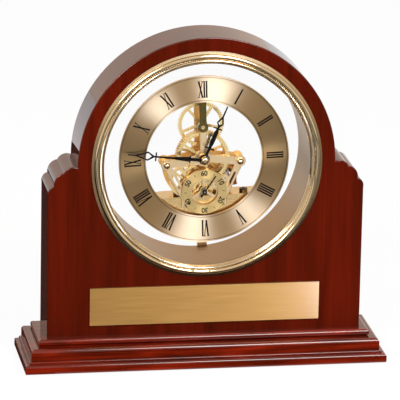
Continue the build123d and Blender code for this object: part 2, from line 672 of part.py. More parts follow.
# Battery box with its cell, contacts, board and door
shelf_wheels = (
    (seconds_spot, seconds_step, seconds_layer),
    (third_spot, third_from_seconds, third_layer),
    (intermediate_spot, rotor_step, intermediate_layer),
)
with BuildPart() as battery_box:
    with BuildSketch(dial_plane(tube_back)):
        Circle(box_radius)
        with Locations((0, box_radius - shelf_drop)):
            Rectangle(2 * box_radius, 2 * box_radius, mode=Mode.SUBTRACT)
    extrude(amount=tube_back - front_plate_back)
    with BuildSketch(dial_plane(tube_back)):
        Circle(box_radius - box_wall)
        with Locations((0, box_radius - shelf_drop - box_wall)):
            Rectangle(2 * box_radius, 2 * box_radius, mode=Mode.SUBTRACT)
    extrude(amount=tube_back - front_plate_back - box_wall, mode=Mode.SUBTRACT)
    with BuildSketch(dial_plane(tube_back)):
        discs(post_spots, post_radius)
    extrude(amount=tube_back - front_plate_back - box_wall)
    with BuildSketch(dial_plane(tube_back)):
        discs(post_spots, post_screw_radius)
    extrude(amount=post_screw_bite, mode=Mode.SUBTRACT)
    with BuildSketch(dial_plane(front_plate_back + box_wall)):
        discs(foot_screws, foot_screw_radius)
    extrude(amount=box_wall, mode=Mode.SUBTRACT)
    with BuildSketch(Plane.XY.offset(dial_z - shelf_drop)):
        for (x, z), reach, layer in shelf_wheels:
            slot_half = ((reach + wheel_space) ** 2 - (shelf_drop + z) ** 2) ** 0.5
            with Locations((x, front_y + layer - wheel_gauge / 2)):
                Rectangle(2 * slot_half, wheel_gauge + wheel_space)
        for x, back in shelf_bolt_spots:
            with Locations((x, front_y + front_plate_back + back)):
                Circle(shelf_bolt_radius)
    extrude(amount=-box_wall, mode=Mode.SUBTRACT)

with BuildPart() as shelf_bolts:
    for x, back in shelf_bolt_spots:
        shelf_spot = (x, front_y + front_plate_back + back, dial_z - shelf_drop)
        with BuildSketch(Plane(origin=shelf_spot)):
            RegularPolygon(shelf_nut_width / 2, nut_sides)
        extrude(amount=shelf_nut_height)
        with BuildSketch(Plane(origin=shelf_spot).offset(-shelf_bolt_bite)):
            Circle(shelf_bolt_radius)
        extrude(amount=shelf_bolt_bite + shelf_nut_height + shelf_nut_stud)

with BuildPart() as box_screws:
    with BuildSketch(dial_plane(bridge_back)):
        discs(foot_screws, foot_screw_head)
    extrude(amount=foot_screw_head_height)
    with BuildSketch(dial_plane(bridge_back + foot_screw_bite)):
        discs(foot_screws, foot_screw_radius)
    extrude(amount=foot_screw_bite)

cell_end = (-cell_length / 2, front_y + cell_depth, dial_z - cell_drop)
end_plane = Plane(origin=cell_end, x_dir=(0, 1, 0), z_dir=(1, 0, 0))
with BuildPart() as battery_cell:
    with BuildSketch(end_plane):
        Circle(cell_radius)
    extrude(amount=cell_length - cell_nub_length)
    with BuildSketch(end_plane):
        Circle(cell_nub_radius)
    extrude(amount=cell_length)

contact_middle = front_y + (contact_front + cell_depth + contact_reach) / 2
contact_length = cell_depth + contact_reach - contact_front


def contact(inner_x, side):
    """A contact blade on one end of the cell, with a foot on the box's front wall, in the open part."""
    with BuildSketch(Plane.XY.offset(dial_z - cell_drop - contact_rise / 2)) as face:
        with Locations((inner_x + side * contact_thick / 2, contact_middle)):
            Rectangle(contact_thick, contact_length)
        with Locations((inner_x + side * contact_foot / 2, front_y + contact_front + contact_thick / 2)):
            Rectangle(contact_foot, contact_thick)
    extrude(face.sketch, amount=contact_rise)


with BuildPart() as contact_positive:
    contact(cell_length / 2, 1)

with BuildPart() as contact_negative:
    contact(-cell_length / 2, -1)

with BuildPart() as circuit_board:
    with BuildSketch(dial_plane(contact_front + board_thick, cell_spot)):
        Rectangle(board_width, board_height)
    extrude(amount=board_thick)

crystal_y = front_y + contact_front + board_thick + crystal_radius
crystal_z = dial_z - cell_drop - crystal_lower
crystal_plane = Plane(origin=(0, crystal_y, crystal_z), x_dir=(0, 1, 0), z_dir=(1, 0, 0))
with BuildPart() as quartz_crystal:
    with BuildSketch(crystal_plane.offset(-crystal_length / 2)):
        Circle(crystal_radius)
    extrude(amount=crystal_length)

with BuildPart() as battery_door:
    door_back = case_depth + door_seat_gap + door_lip_thick
    with BuildSketch(dial_plane(door_back, cell_spot)):
        Rectangle(window_width + 2 * door_lip, window_height + 2 * door_lip)
    extrude(amount=door_lip_thick)
    with BuildSketch(dial_plane(door_back, cell_spot)):
        Rectangle(window_width - 2 * door_play, window_height - 2 * door_play)
    extrude(amount=door_lip_thick + door_seat_gap + door_plug)
    with BuildSketch(dial_plane(door_back + door_grip_reach, cell_spot)):
        Rectangle(door_grip_width, door_grip_height)
    extrude(amount=door_grip_reach)

# Seconds sub-dial
with BuildPart() as sub_dial:
    sub_dial_front = sub_dial_back - sub_dial_thick
    sub_rim_front = sub_dial_front - sub_rim_height
    rod(sub_dial_front, sub_dial_back, seconds_spot, sub_dial_outer, sub_dial_inner)
    for rim_outer in (sub_dial_outer, sub_dial_inner + sub_rim_width):
        rod(sub_rim_front, sub_dial_front, seconds_spot, rim_outer, rim_outer - sub_rim_width)

with BuildPart() as sub_dial_posts:
    with BuildSketch(dial_plane(bridge_back, seconds_spot)):
        with PolarLocations(sub_post_circle, sub_post_count, start_angle=sub_post_angle):
            Circle(sub_post_radius)
    extrude(amount=sub_post_length)

# Stepping motor: stator, coil and rotor
with BuildPart() as stator:
    with BuildSketch(dial_plane(stator_depth)):
        discs((rotor_spot,), stator_bore + stator_wall)
        for coil_post in coil_posts:
            bar(rotor_spot, coil_post, stator_arm)
        discs((rotor_spot,), stator_bore, mode=Mode.SUBTRACT)
    extrude(amount=stator_thick)

with BuildPart() as stator_posts:
    with BuildSketch(dial_plane(rear_plate_front)):
        discs(coil_posts, stator_post_radius)
    extrude(amount=rear_plate_front - stator_depth)

coil_depth = stator_depth - stator_thick - coil_flange
with BuildPart() as motor_coil:
    with BuildSketch(Plane(origin=(coil_x, front_y + coil_depth, dial_z + coil_bottom))):
        Circle(coil_radius)
    extrude(amount=coil_length)
    for height in (coil_bottom - coil_flange_thick, coil_top):
        with BuildSketch(Plane(origin=(coil_x, front_y + coil_depth, dial_z + height))):
            Circle(coil_flange)
        extrude(amount=coil_flange_thick)

rotor_module = pair_module(rotor_step, intermediate_teeth, leaf_count)
with BuildPart() as rotor_pinion:
    rotor_turn = mesh_turn(intermediate_teeth, intermediate_spot, rotor_spot, leaf_count)
    pinion(rotor_spot, intermediate_layer, rotor_module, rotor_turn)

magnet_back = stator_depth - stator_thick / 2 + magnet_length / 2
with BuildPart() as rotor_magnet:
    rod(magnet_back - magnet_length, magnet_back, rotor_spot, magnet_radius, arbor_radius)

# Going train
seconds_module = pair_module(seconds_step, seconds_teeth, leaf_count)
with BuildPart() as intermediate_pinion:
    leaf_turn = mesh_turn(seconds_teeth, seconds_spot, intermediate_spot, leaf_count)
    pinion(intermediate_spot, seconds_layer, seconds_module, leaf_turn)

with BuildPart() as intermediate_wheel:
    with BuildSketch(dial_plane(intermediate_layer, intermediate_spot)):
        gear(intermediate_teeth, rotor_module, leaf_mate_tip, pinion_tip)
        spokes(small_spokes, small_hub, intermediate_teeth * rotor_module / 2 - rim_depth, arbor_radius)
    extrude(amount=wheel_gauge)

third_module = pair_module(third_from_seconds, third_teeth, leaf_count)
with BuildPart() as seconds_pinion:
    leaf_turn = mesh_turn(third_teeth, third_spot, seconds_spot, leaf_count)
    pinion(seconds_spot, third_layer, third_module, leaf_turn, seconds_hand_back - hand_thick)

with BuildPart() as seconds_wheel:
    with BuildSketch(dial_plane(seconds_layer, seconds_spot)):
        gear(seconds_teeth, seconds_module, leaf_mate_tip, pinion_tip)
        spokes(small_spokes, small_hub, seconds_teeth * seconds_module / 2 - rim_depth, arbor_radius)
    extrude(amount=wheel_gauge)

centre_module = pair_module(third_from_centre, centre_teeth, leaf_count)
with BuildPart() as third_pinion:
    leaf_turn = mesh_turn(centre_teeth, centre_spot, third_spot, leaf_count)
    pinion(third_spot, centre_layer, centre_module, leaf_turn)

with BuildPart() as third_wheel:
    with BuildSketch(dial_plane(third_layer, third_spot)):
        gear(third_teeth, third_module, leaf_mate_tip, pinion_tip)
        spokes(large_spokes, third_hub, third_teeth * third_module / 2 - rim_depth, arbor_radius)
    extrude(amount=wheel_gauge)

with BuildPart() as centre_wheel:
    with BuildSketch(dial_plane(centre_layer)):
        gear(centre_teeth, centre_module, leaf_mate_tip, pinion_tip)
        centre_rim = centre_teeth * centre_module / 2 - rim_depth
        spokes(large_spokes, centre_hub, centre_rim, centre_radius + fit_play, centre_spoke_turn)
    extrude(amount=wheel_gauge)

# Motion work: the centre arbor turns the hands through a cannon pinion
cannon_module = pair_module(minute_rise, cannon_teeth, minute_wheel_teeth)
hour_module = pair_module(minute_rise, minute_pinion_teeth, hour_teeth)
with BuildPart() as centre_arbor:
    rod(minute_hand_back - hand_thick - arbor_stub, knob_front + knob_length, centre_spot, centre_radius)
    collar_front = centre_layer + wheel_space / 2
    rod(collar_front, collar_front + collar_length, centre_spot, collar_radius)

with BuildPart() as cannon_pinion:
    with BuildSketch(dial_plane(cannon_layer)):
        gear(cannon_teeth, cannon_module, pinion_tip, wheel_tip)
        Circle(centre_radius, mode=Mode.SUBTRACT)
    extrude(amount=wheel_gauge)
    rod(minute_hand_back, cannon_layer, centre_spot, cannon_pipe_radius, centre_radius)

with BuildPart() as hour_wheel:
    hour_bore = cannon_pipe_radius + fit_play
    with BuildSketch(dial_plane(hour_layer)):
        gear(hour_teeth, hour_module, wheel_tip, pinion_tip)
        spokes(large_spokes, hour_wheel_hub, hour_teeth * hour_module / 2 - rim_depth, hour_bore)
    extrude(amount=wheel_gauge)
    rod(hour_hand_back - hand_thick, hour_layer, centre_spot, hour_pipe_radius, hour_bore)

with BuildPart() as minute_pinion:
    with BuildSketch(dial_plane(hour_layer + wheel_space / 4, minute_spot)):
        leaf_turn = mesh_turn(hour_teeth, centre_spot, minute_spot, minute_pinion_teeth)
        gear(minute_pinion_teeth, hour_module, pinion_tip, wheel_tip, leaf_turn)
    extrude(amount=wheel_gauge + wheel_space / 4)
    rod(arbor_front, arbor_back, minute_spot, arbor_radius)
    rod(pivot_front, pivot_back, minute_spot, pivot_radius)

with BuildPart() as minute_wheel:
    with BuildSketch(dial_plane(cannon_layer, minute_spot)):
        tooth_turn = mesh_turn(cannon_teeth, centre_spot, minute_spot, minute_wheel_teeth)
        gear(minute_wheel_teeth, cannon_module, wheel_tip, pinion_tip, tooth_turn)
        minute_rim = minute_wheel_teeth * cannon_module / 2 - rim_depth
        spokes(large_spokes, centre_hub, minute_rim, arbor_radius, minute_spoke_turn)
    extrude(amount=wheel_gauge)

with BuildPart() as setting_knob:
    with BuildSketch(dial_plane(knob_front + knob_length)):
        Circle(knob_radius)
        with PolarLocations(knob_radius, knob_flutes):
            Circle(knob_flute_radius, mode=Mode.SUBTRACT)
        Circle(centre_radius, mode=Mode.SUBTRACT)
    extrude(amount=knob_length)

# Hands: a hub, a stem, a cross, a lance, a second cross and an open diamond with a blunt tip


def mirrored(points):
    """A closed run of points: the given right-hand ones going out, then their mirror images coming back."""
    return points + [(-x, y) for x, y in reversed(points)]


def hand(depth, angle, hub, bore, length, blade, crosses, diamond):
    """A flat hand that points at an angle from twelve, in the open part."""
    start, widest, end = [share * length for share in diamond[:3]]
    half = diamond[3]
    with BuildSketch(dial_plane(depth, turn=angle)) as face:
        Circle(hub)
        outline(mirrored([(blade_half, share * length) for share, blade_half in blade]))
        for share, cross_half, cross_width in crosses:
            with Locations((0, share * length)):
                Rectangle(2 * cross_half, cross_width)
        outline(mirrored([(tip_half, start), (half, widest), (tip_half, end), (tip_end_half, length)]))
        hole_half = half - diamond_side
        hole_start, hole_end = start + diamond_point, end - diamond_point
        hole = ((0, hole_start), (hole_half, widest), (0, hole_end), (-hole_half, widest))
        outline(hole, mode=Mode.SUBTRACT)
        Circle(bore, mode=Mode.SUBTRACT)
    extrude(face.sketch, amount=hand_thick)


with BuildPart() as minute_hand:
    minute_shape = (minute_blade, minute_crosses, minute_diamond)
    hand(minute_hand_back, minute_angle, minute_hub, centre_radius, minute_length, *minute_shape)

with BuildPart() as hour_hand:
    hour_shape = (hour_blade, hour_crosses, hour_diamond)
    hand(hour_hand_back, hour_angle, hour_hub, hour_pipe_radius, hour_length, *hour_shape)

with BuildPart() as hand_nut:
    nut_back = minute_hand_back - hand_thick
    rod(nut_back - hand_nut_height, nut_back, centre_spot, hand_nut_radius)
    fillet(hand_nut.faces().sort_by(Axis.Y)[0].edges(), hand_nut_round)
    rod(nut_back - arbor_stub, nut_back, centre_spot, centre_radius, mode=Mode.SUBTRACT)

with BuildPart() as seconds_hand:
    with BuildSketch(dial_plane(seconds_hand_back, seconds_spot, seconds_angle)):
        sweep_tail = (seconds_tail_half, -seconds_tail)
        outline(mirrored([sweep_tail, (seconds_stem_half, 0), (seconds_tip_half, seconds_length)]))
        Circle(seconds_hub)
        Circle(pivot_radius, mode=Mode.SUBTRACT)
    extrude(amount=hand_thick)

case_pieces = {
    "case_body": case_body,
    "base_top_tier": base_top_tier,
    "base_middle_tier": base_middle_tier,
    "base_bottom_tier": base_bottom_tier,
    "base_screws": base_screws,
    "felt_sheet": felt_sheet,
    "plate_tape": plate_tape,
    "engraving_plate": engraving_plate,
    "bezel": bezel,
    "front_lens": front_lens,
    "lens_gasket": lens_gasket,
    "housing_tube": housing_tube,
    "rear_ring": rear_ring,
    "rear_ring_screws": rear_ring_screws,
}
insert_pieces = {
    "carrier_disc": carrier_disc,
    "carrier_screws": carrier_screws,
    "retaining_tab": retaining_tab,
    "chapter_ring": chapter_ring,
    "ring_bridge": ring_bridge,
    "ring_screws": ring_screws,
    "ring_posts": ring_posts,
    "front_plate": front_plate,
    "rear_plate": rear_plate,
    "top_post": top_post,
    "pillars": pillars,
    "pillar_nuts": pillar_nuts,
    "battery_box": battery_box,
    "shelf_bolts": shelf_bolts,
    "box_screws": box_screws,
    "battery_cell": battery_cell,
    "contact_positive": contact_positive,
    "contact_negative": contact_negative,
    "circuit_board": circuit_board,
    "quartz_crystal": quartz_crystal,
    "battery_door": battery_door,
    "sub_dial": sub_dial,
    "sub_dial_posts": sub_dial_posts,
    "stator": stator,
    "stator_posts": stator_posts,
    "motor_coil": motor_coil,
    "rotor_pinion": rotor_pinion,
    "rotor_magnet": rotor_magnet,
    "intermediate_pinion": intermediate_pinion,
    "intermediate_wheel": intermediate_wheel,
    "seconds_pinion": seconds_pinion,
    "seconds_wheel": seconds_wheel,
    "third_pinion": third_pinion,
    "third_wheel": third_wheel,
    "centre_wheel": centre_wheel,
    "centre_arbor": centre_arbor,
    "cannon_pinion": cannon_pinion,
    "hour_wheel": hour_wheel,
    "minute_pinion": minute_pinion,
    "minute_wheel": minute_wheel,
    "setting_knob": setting_knob,
    "minute_hand": minute_hand,
    "hour_hand": hour_hand,
    "hand_nut": hand_nut,
    "seconds_hand": seconds_hand,
}
os.makedirs("parts", exist_ok=True)
for pieces, lean in ((case_pieces, 0.0), (insert_pieces, insert_lean)):
    for name, piece in pieces.items():
        solid = piece.part.rotate(dial_axis, -lean)
        solid.label = name
        export_step(solid, f"parts/{name}.step")
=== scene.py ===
import json
import logging
import math
from dataclasses import dataclass, field
from enum import Enum
from typing import Any, Callable

import bpy
from mathutils import Matrix, Vector

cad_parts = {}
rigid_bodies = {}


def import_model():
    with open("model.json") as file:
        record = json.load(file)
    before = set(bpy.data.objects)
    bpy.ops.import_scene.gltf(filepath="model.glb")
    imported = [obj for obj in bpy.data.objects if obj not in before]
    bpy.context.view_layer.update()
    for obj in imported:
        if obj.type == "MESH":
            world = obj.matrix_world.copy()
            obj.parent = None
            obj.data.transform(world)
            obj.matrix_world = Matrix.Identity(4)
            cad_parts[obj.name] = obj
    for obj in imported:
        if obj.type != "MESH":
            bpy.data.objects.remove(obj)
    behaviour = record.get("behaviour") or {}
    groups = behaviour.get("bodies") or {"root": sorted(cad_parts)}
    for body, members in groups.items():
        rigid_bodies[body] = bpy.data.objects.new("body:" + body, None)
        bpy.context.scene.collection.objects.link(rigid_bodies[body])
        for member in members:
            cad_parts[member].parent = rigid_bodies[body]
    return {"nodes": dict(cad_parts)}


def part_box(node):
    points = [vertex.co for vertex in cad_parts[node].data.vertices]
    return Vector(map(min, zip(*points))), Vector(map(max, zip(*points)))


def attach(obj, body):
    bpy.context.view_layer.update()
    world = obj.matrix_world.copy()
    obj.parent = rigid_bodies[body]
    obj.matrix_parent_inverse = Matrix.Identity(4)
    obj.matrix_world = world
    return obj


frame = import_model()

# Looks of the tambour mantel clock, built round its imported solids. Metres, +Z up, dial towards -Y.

MM = 0.001
LOG = logging.getLogger("clock")
Pair = tuple[float, float]
Triple = tuple[float, float, float]
Tree = bpy.types.NodeTree
Socket = bpy.types.NodeSocket


def linear(colour: str) -> tuple[float, float, float, float]:
    """Turn an sRGB hex value into linear light.

    Args:
        colour: The value as "#rrggbb".

    Returns:
        Red, green, blue and an alpha of one.
    """
    parts = [int(colour[i:i + 2], 16) / 255 for i in (1, 3, 5)]
    made = [c / 12.92 if c <= 0.04045 else ((c + 0.055) / 1.055) ** 2.4 for c in parts]
    return made[0], made[1], made[2], 1.0


def add_node(tree: Tree, kind: str, settings: dict[Any, Any] | None = None,
             links: dict[Any, Socket] | None = None) -> bpy.types.Node:
    """Add a node with its settings and its links.

    Args:
        tree: The node tree that gets it.
        kind: The node's type name.
        settings: Attributes of the node, input values by socket, or ramp stops under "stops".
        links: Output sockets to join to the node's inputs, by input.

    Returns:
        The new node.
    """
    node = tree.nodes.new(kind)
    for key, value in (settings or {}).items():
        if key == "stops":
            stops = node.color_ramp.elements
            while len(stops) < len(value):
                stops.new(0.5)
            for stop, (place, colour) in zip(stops, value):
                stop.position = place
                stop.color = colour
        elif isinstance(key, str) and hasattr(node, key):
            setattr(node, key, value)
        else:
            node.inputs[key].default_value = value
    for key, socket in (links or {}).items():
        tree.links.new(socket, node.inputs[key])
    return node


class Grain(Enum):
    """The way that grain or brushing runs on a piece."""

    UPRIGHT = "upright"
    LEVEL = "level"
    ROUND = "round"


@dataclass(frozen=True)
class Dial:
    """A round dial: where its axis meets its front, and how far it leans to the left."""

    x: float
    y: float
    z: float
    lean: float = 0.0

    @classmethod
    def of(cls, node: str, lean: float = 0.0) -> "Dial":
        """Read a dial from the box of a round solid.

        Args:
            node: The solid's name.
            lean: How far the dial is turned anticlockwise, in degrees.

        Returns:
            The dial.
        """
        low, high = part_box(node)
        return cls((low.x + high.x) / 2, low.y, (low.z + high.z) / 2, lean)

    def lean_to(self, lower: "Dial") -> float:
        """Measure how far the line from here down to another dial leans to the left.

        Args:
            lower: The other dial.

        Returns:
            The lean in degrees.
        """
        return math.degrees(math.atan2(lower.x - self.x, self.z - lower.z))

    def turned(self, degrees: float, radius: float = 0.0, depth: float = 0.0) -> Matrix:
        """Place a flat drawing on the dial.

        Args:
            degrees: Clockwise from twelve, seen from the front.
            radius: How far out the drawing's origin goes.
            depth: How far behind the dial's foremost face it lies.

        Returns:
            The matrix that takes x as right, y as outwards and z as towards the viewer.
        """
        middle = Matrix.Translation((self.x, self.y + depth, self.z))
        turn = Matrix.Rotation(math.radians(degrees - self.lean), 4, "Y")
        stand = Matrix.Rotation(math.pi / 2, 4, "X")
        return middle @ turn @ stand @ Matrix.Translation((0, radius, 0))


LEAN = Dial.of("chapter_ring").lean_to(Dial.of("sub_dial"))
DIAL = Dial.of("chapter_ring", LEAN)
SUB_DIAL = Dial.of("sub_dial", LEAN)


@dataclass(frozen=True)
class Finish:
    """A plain finish, with the values that are the same all over it.

    Lacquer, plastic, rubber and glass all lie near the default IOR, and metal keeps it.
    """

    name: str
    colour: str
    roughness: float
    metallic: float = 0.0
    ior: float = 1.5
    coat: float = 0.0
    coat_roughness: float = 0.03
    specular: float = 0.5
    mottle: float = 0.06
    mottle_mm: float = 6.0

    def start(self) -> tuple[bpy.types.Material, Tree, bpy.types.Node]:
        """Make the material with its shader set.

        Returns:
            The material, its node tree and its shader node.
        """
        material = bpy.data.materials.new(self.name)
        material.use_nodes = True
        tree = material.node_tree
        shader = tree.nodes["Principled BSDF"]
        values = {"Base Color": linear(self.colour), "Roughness": self.roughness, "Metallic": self.metallic,
                  "IOR": self.ior, "Specular IOR Level": self.specular, "Coat Weight": self.coat,
                  "Coat Roughness": self.coat_roughness}
        for socket, value in values.items():
            shader.inputs[socket].default_value = value
        return material, tree, shader

    def place(self, tree: Tree, scale_mm: Triple, about: Dial = DIAL) -> Socket:
        """Give object coordinates about a dial's axis, in units of a real size.

        Args:
            tree: The node tree.
            scale_mm: The real size that one unit stands for, along x, y and z.
            about: The dial whose axis is the origin.

        Returns:
            The coordinates' socket.
        """
        coords = add_node(tree, "ShaderNodeTexCoord")
        scale = tuple(1 / (s * MM) for s in scale_mm)
        shift = tuple(-c * s for c, s in zip((about.x, about.y, about.z), scale))
        mapped = add_node(tree, "ShaderNodeMapping", {"Location": shift, "Scale": scale},
                          {"Vector": coords.outputs["Object"]})
        return mapped.outputs["Vector"]

    def outward(self, tree: Tree, unit_mm: float, about: Dial = DIAL) -> tuple[Socket, Socket]:
        """Measure outwards from a dial's axis.

        Args:
            tree: The node tree.
            unit_mm: The real size that one unit stands for.
            about: The dial.

        Returns:
            The way out as a vector, and its length.
        """
        flat = add_node(tree, "ShaderNodeVectorMath", {"operation": "MULTIPLY", 1: (1, 0, 1)},
                        {0: self.place(tree, (unit_mm,) * 3, about)})
        out = add_node(tree, "ShaderNodeVectorMath", {"operation": "LENGTH"}, {0: flat.outputs["Vector"]})
        return flat.outputs["Vector"], out.outputs["Value"]

    def gloss(self, tree: Tree, pattern: Socket) -> Socket:
        """Let the roughness follow a pattern, to either side of its value.

        Args:
            tree: The node tree.
            pattern: The pattern, from zero to one.

        Returns:
            The roughness.
        """
        ranged = add_node(tree, "ShaderNodeMapRange",
                          {"To Min": self.roughness - self.mottle, "To Max": self.roughness + self.mottle},
                          {"Value": pattern})
        return ranged.outputs["Result"]

    def wear(self, tree: Tree) -> Socket:
        """Make the gloss of a surface with faint cloudy wear.

        Args:
            tree: The node tree.

        Returns:
            The roughness.
        """
        noise = add_node(tree, "ShaderNodeTexNoise", {"Scale": 1.0, "Detail": 4.0},
                         {"Vector": self.place(tree, (self.mottle_mm,) * 3)})
        return self.gloss(tree, noise.outputs["Fac"])

    def dress(self, tree: Tree, shader: bpy.types.Node) -> None:
        """Add the finish's own pattern: faint cloudy wear in the gloss.

        Args:
            tree: The node tree.
            shader: Its shader node.
        """
        tree.links.new(self.wear(tree), shader.inputs["Roughness"])

    def make(self) -> bpy.types.Material:
        """Make the whole material.

        Returns:
            The material.
        """
        material, tree, shader = self.start()
        self.dress(tree, shader)
        return material


@dataclass(frozen=True)
class LacqueredWood(Finish):
    """Stained mahogany under clear polyester lacquer: ribbon figure deep under a glassy coat."""

    coat: float = 1.0
    specular: float = 0.0
    dark: str = "#360a02"
    light: str = "#531104"
    way: Grain = Grain.UPRIGHT
    figure_length: float = 9.0
    stain_stops: Triple = (0.28, 0.5, 0.76)
    ribbon_mm: float = 14.0
    pore_mm: float = 1.3
    pore_tone: float = 0.95
    pore_depth: float = 0.15
    pore_span: Pair = (0.35, 0.7)
    wave_mm: Triple = (9.0, 9.0, 9.0)
    wave_depth: float = 0.08
    coat_mm: float = 0.25

    def dress(self, tree: Tree, shader: bpy.types.Node) -> None:
        """Add broad ribbons, fine pores and the slow waviness of a thick coat.

        Args:
            tree: The node tree.
            shader: Its shader node.
        """
        long = self.figure_length
        stretch = (1, 1, long) if self.way is Grain.UPRIGHT else (long, 1, 1)
        ribbon = add_node(tree, "ShaderNodeTexNoise", {"Scale": 1.0, "Detail": 3.0, "Distortion": 0.6},
                          {"Vector": self.place(tree, tuple(self.ribbon_mm * s for s in stretch))})
        pores = add_node(tree, "ShaderNodeTexNoise", {"Scale": 1.0, "Detail": 5.0, "Roughness": 0.65},
                         {"Vector": self.place(tree, tuple(self.pore_mm * s * s for s in stretch))})
        tones = [linear(tone) for tone in (self.dark, self.colour, self.light)]
        stain = add_node(tree, "ShaderNodeValToRGB", {"stops": list(zip(self.stain_stops, tones))},
                         {"Fac": ribbon.outputs["Fac"]})
        shade = add_node(tree, "ShaderNodeMapRange",
                         {"From Min": self.pore_span[0], "From Max": self.pore_span[1],
                          "To Min": self.pore_tone - self.pore_depth,
                          "To Max": self.pore_tone + self.pore_depth},
                         {"Value": pores.outputs["Fac"]})
        tint = add_node(tree, "ShaderNodeVectorMath", {"operation": "SCALE"},
                        {0: stain.outputs["Color"], "Scale": shade.outputs["Result"]})
        tree.links.new(tint.outputs["Vector"], shader.inputs["Base Color"])
        wave = add_node(tree, "ShaderNodeTexNoise", {"Scale": 1.0, "Detail": 1.0},
                        {"Vector": self.place(tree, self.wave_mm)})
        bump = add_node(tree, "ShaderNodeBump", {"Strength": self.wave_depth, "Distance": self.coat_mm * MM},
                        {"Height": wave.outputs["Fac"]})
        tree.links.new(bump.outputs["Normal"], shader.inputs["Coat Normal"])


@dataclass(frozen=True)
class BrushedMetal(Finish):
    """Gold-toned metal with fine parallel scratches, drawn coarser than life so that they show."""

    metallic: float = 1.0
    way: Grain = Grain.LEVEL
    scratch_mm: float = 0.35
    scratch_length: float = 60.0
    scratch_tones: Pair = (0.86, 1.1)
    relief_mm: float = 0.02
    depth: float = 0.1
    anisotropy: float = 0.0
    about: Dial = DIAL
    # Radii about the dial's axis at which thin rings are darkened in the tone.
    dark_rings: tuple[float, ...] = ()
    dark_ring_half: float = 0.2
    dark_ring_depth: float = 0.7

    def scratches(self, tree: Tree) -> tuple[Socket, Socket]:
        """Draw straight scratches.

        Args:
            tree: The node tree.

        Returns:
            The scratches' pattern and the way across them.
        """
        level = self.way is Grain.LEVEL
        size, long = self.scratch_mm, self.scratch_mm * self.scratch_length
        across = add_node(tree, "ShaderNodeVectorMath", {0: (0, 0, 1) if level else (1, 0, 0), 1: (0, 0, 0)})
        sizes = (long, size, size) if level else (size, size, long)
        noise = add_node(tree, "ShaderNodeTexNoise", {"Scale": 1.0, "Detail": 3.0},
                         {"Vector": self.place(tree, sizes)})
        return noise.outputs["Fac"], across.outputs["Vector"]

    def circles(self, tree: Tree) -> tuple[Socket, Socket, Socket]:
        """Draw scratches round a dial's axis.

        Args:
            tree: The node tree.

        Returns:
            The scratches' pattern, the way across them and how far out a point lies.
        """
        flat, out = self.outward(tree, self.scratch_mm, self.about)
        across = add_node(tree, "ShaderNodeVectorMath", {"operation": "NORMALIZE"}, {0: flat})
        noise = add_node(tree, "ShaderNodeTexNoise", {"noise_dimensions": "1D", "Scale": 1.0, "Detail": 3.0},
                         {"W": out})
        return noise.outputs["Fac"], across.outputs["Vector"], out

    def darken_rings(self, tree: Tree, tone: Socket, out: Socket) -> Socket:
        """Darken thin rings at the listed radii.

        Args:
            tree: The node tree.
            tone: The tone without the lines.
            out: How far out a point lies.

        Returns:
            The tone with the lines.
        """
        for ring_radius in self.dark_rings:
            line = add_node(tree, "ShaderNodeMath",
                            {"operation": "COMPARE", 1: ring_radius / self.scratch_mm,
                             2: self.dark_ring_half / self.scratch_mm}, {0: out})
            tone = add_node(tree, "ShaderNodeMath", {"operation": "MULTIPLY_ADD", 1: -self.dark_ring_depth},
                            {0: line.outputs[0], 2: tone}).outputs[0]
        return tone

    def dress(self, tree: Tree, shader: bpy.types.Node) -> None:
        """Add scratches in the gloss, the tone and the relief.

        Args:
            tree: The node tree.
            shader: Its shader node.
        """
        if self.way is Grain.ROUND:
            pattern, across, out = self.circles(tree)
        else:
            pattern, across = self.scratches(tree)
        tree.links.new(self.gloss(tree, pattern), shader.inputs["Roughness"])
        shade = add_node(tree, "ShaderNodeMapRange",
                         {"To Min": self.scratch_tones[0], "To Max": self.scratch_tones[1]},
                         {"Value": pattern})
        tone = shade.outputs["Result"]
        if self.way is Grain.ROUND:
            tone = self.darken_rings(tree, tone, out)
        tint = add_node(tree, "ShaderNodeVectorMath", {"operation": "SCALE", 0: linear(self.colour)[:3]},
                        {"Scale": tone})
        tree.links.new(tint.outputs["Vector"], shader.inputs["Base Color"])
        bump = add_node(tree, "ShaderNodeBump", {"Strength": self.depth, "Distance": self.relief_mm * MM},
                        {"Height": pattern})
        tree.links.new(bump.outputs["Normal"], shader.inputs["Normal"])
        if self.anisotropy:
            shader.inputs["Anisotropic"].default_value = self.anisotropy
            tree.links.new(across, shader.inputs["Tangent"])


@dataclass(frozen=True)
class TurnedRing(Finish):
    """Polished turned metal whose outermost flange is left satin, as the bezel's is."""

    metallic: float = 1.0
    satin_from: float = 74.3
    satin_edge: float = 0.2
    satin: float = 0.26
    satin_tone: str = "#b89a6c"

    def dress(self, tree: Tree, shader: bpy.types.Node) -> None:
        """Change the gloss and the tone at the flange's inner edge.

        Args:
            tree: The node tree.
            shader: Its shader node.
        """
        out = self.outward(tree, 1.0)[1]
        edge = add_node(tree, "ShaderNodeMapRange",
                        {"From Min": self.satin_from, "From Max": self.satin_from + self.satin_edge},
                        {"Value": out})
        satin = add_node(tree, "ShaderNodeMath", {"operation": "MULTIPLY", 1: self.satin},
                         {0: edge.outputs["Result"]})
        gloss = add_node(tree, "ShaderNodeMath", {"operation": "MAXIMUM"},
                         {0: self.wear(tree), 1: satin.outputs[0]})
        tree.links.new(gloss.outputs[0], shader.inputs["Roughness"])
        tone = add_node(tree, "ShaderNodeValToRGB",
                        {"stops": [(0.0, linear(self.colour)), (1.0, linear(self.satin_tone))]},
                        {"Fac": edge.outputs["Result"]})
        tree.links.new(tone.outputs["Color"], shader.inputs["Base Color"])


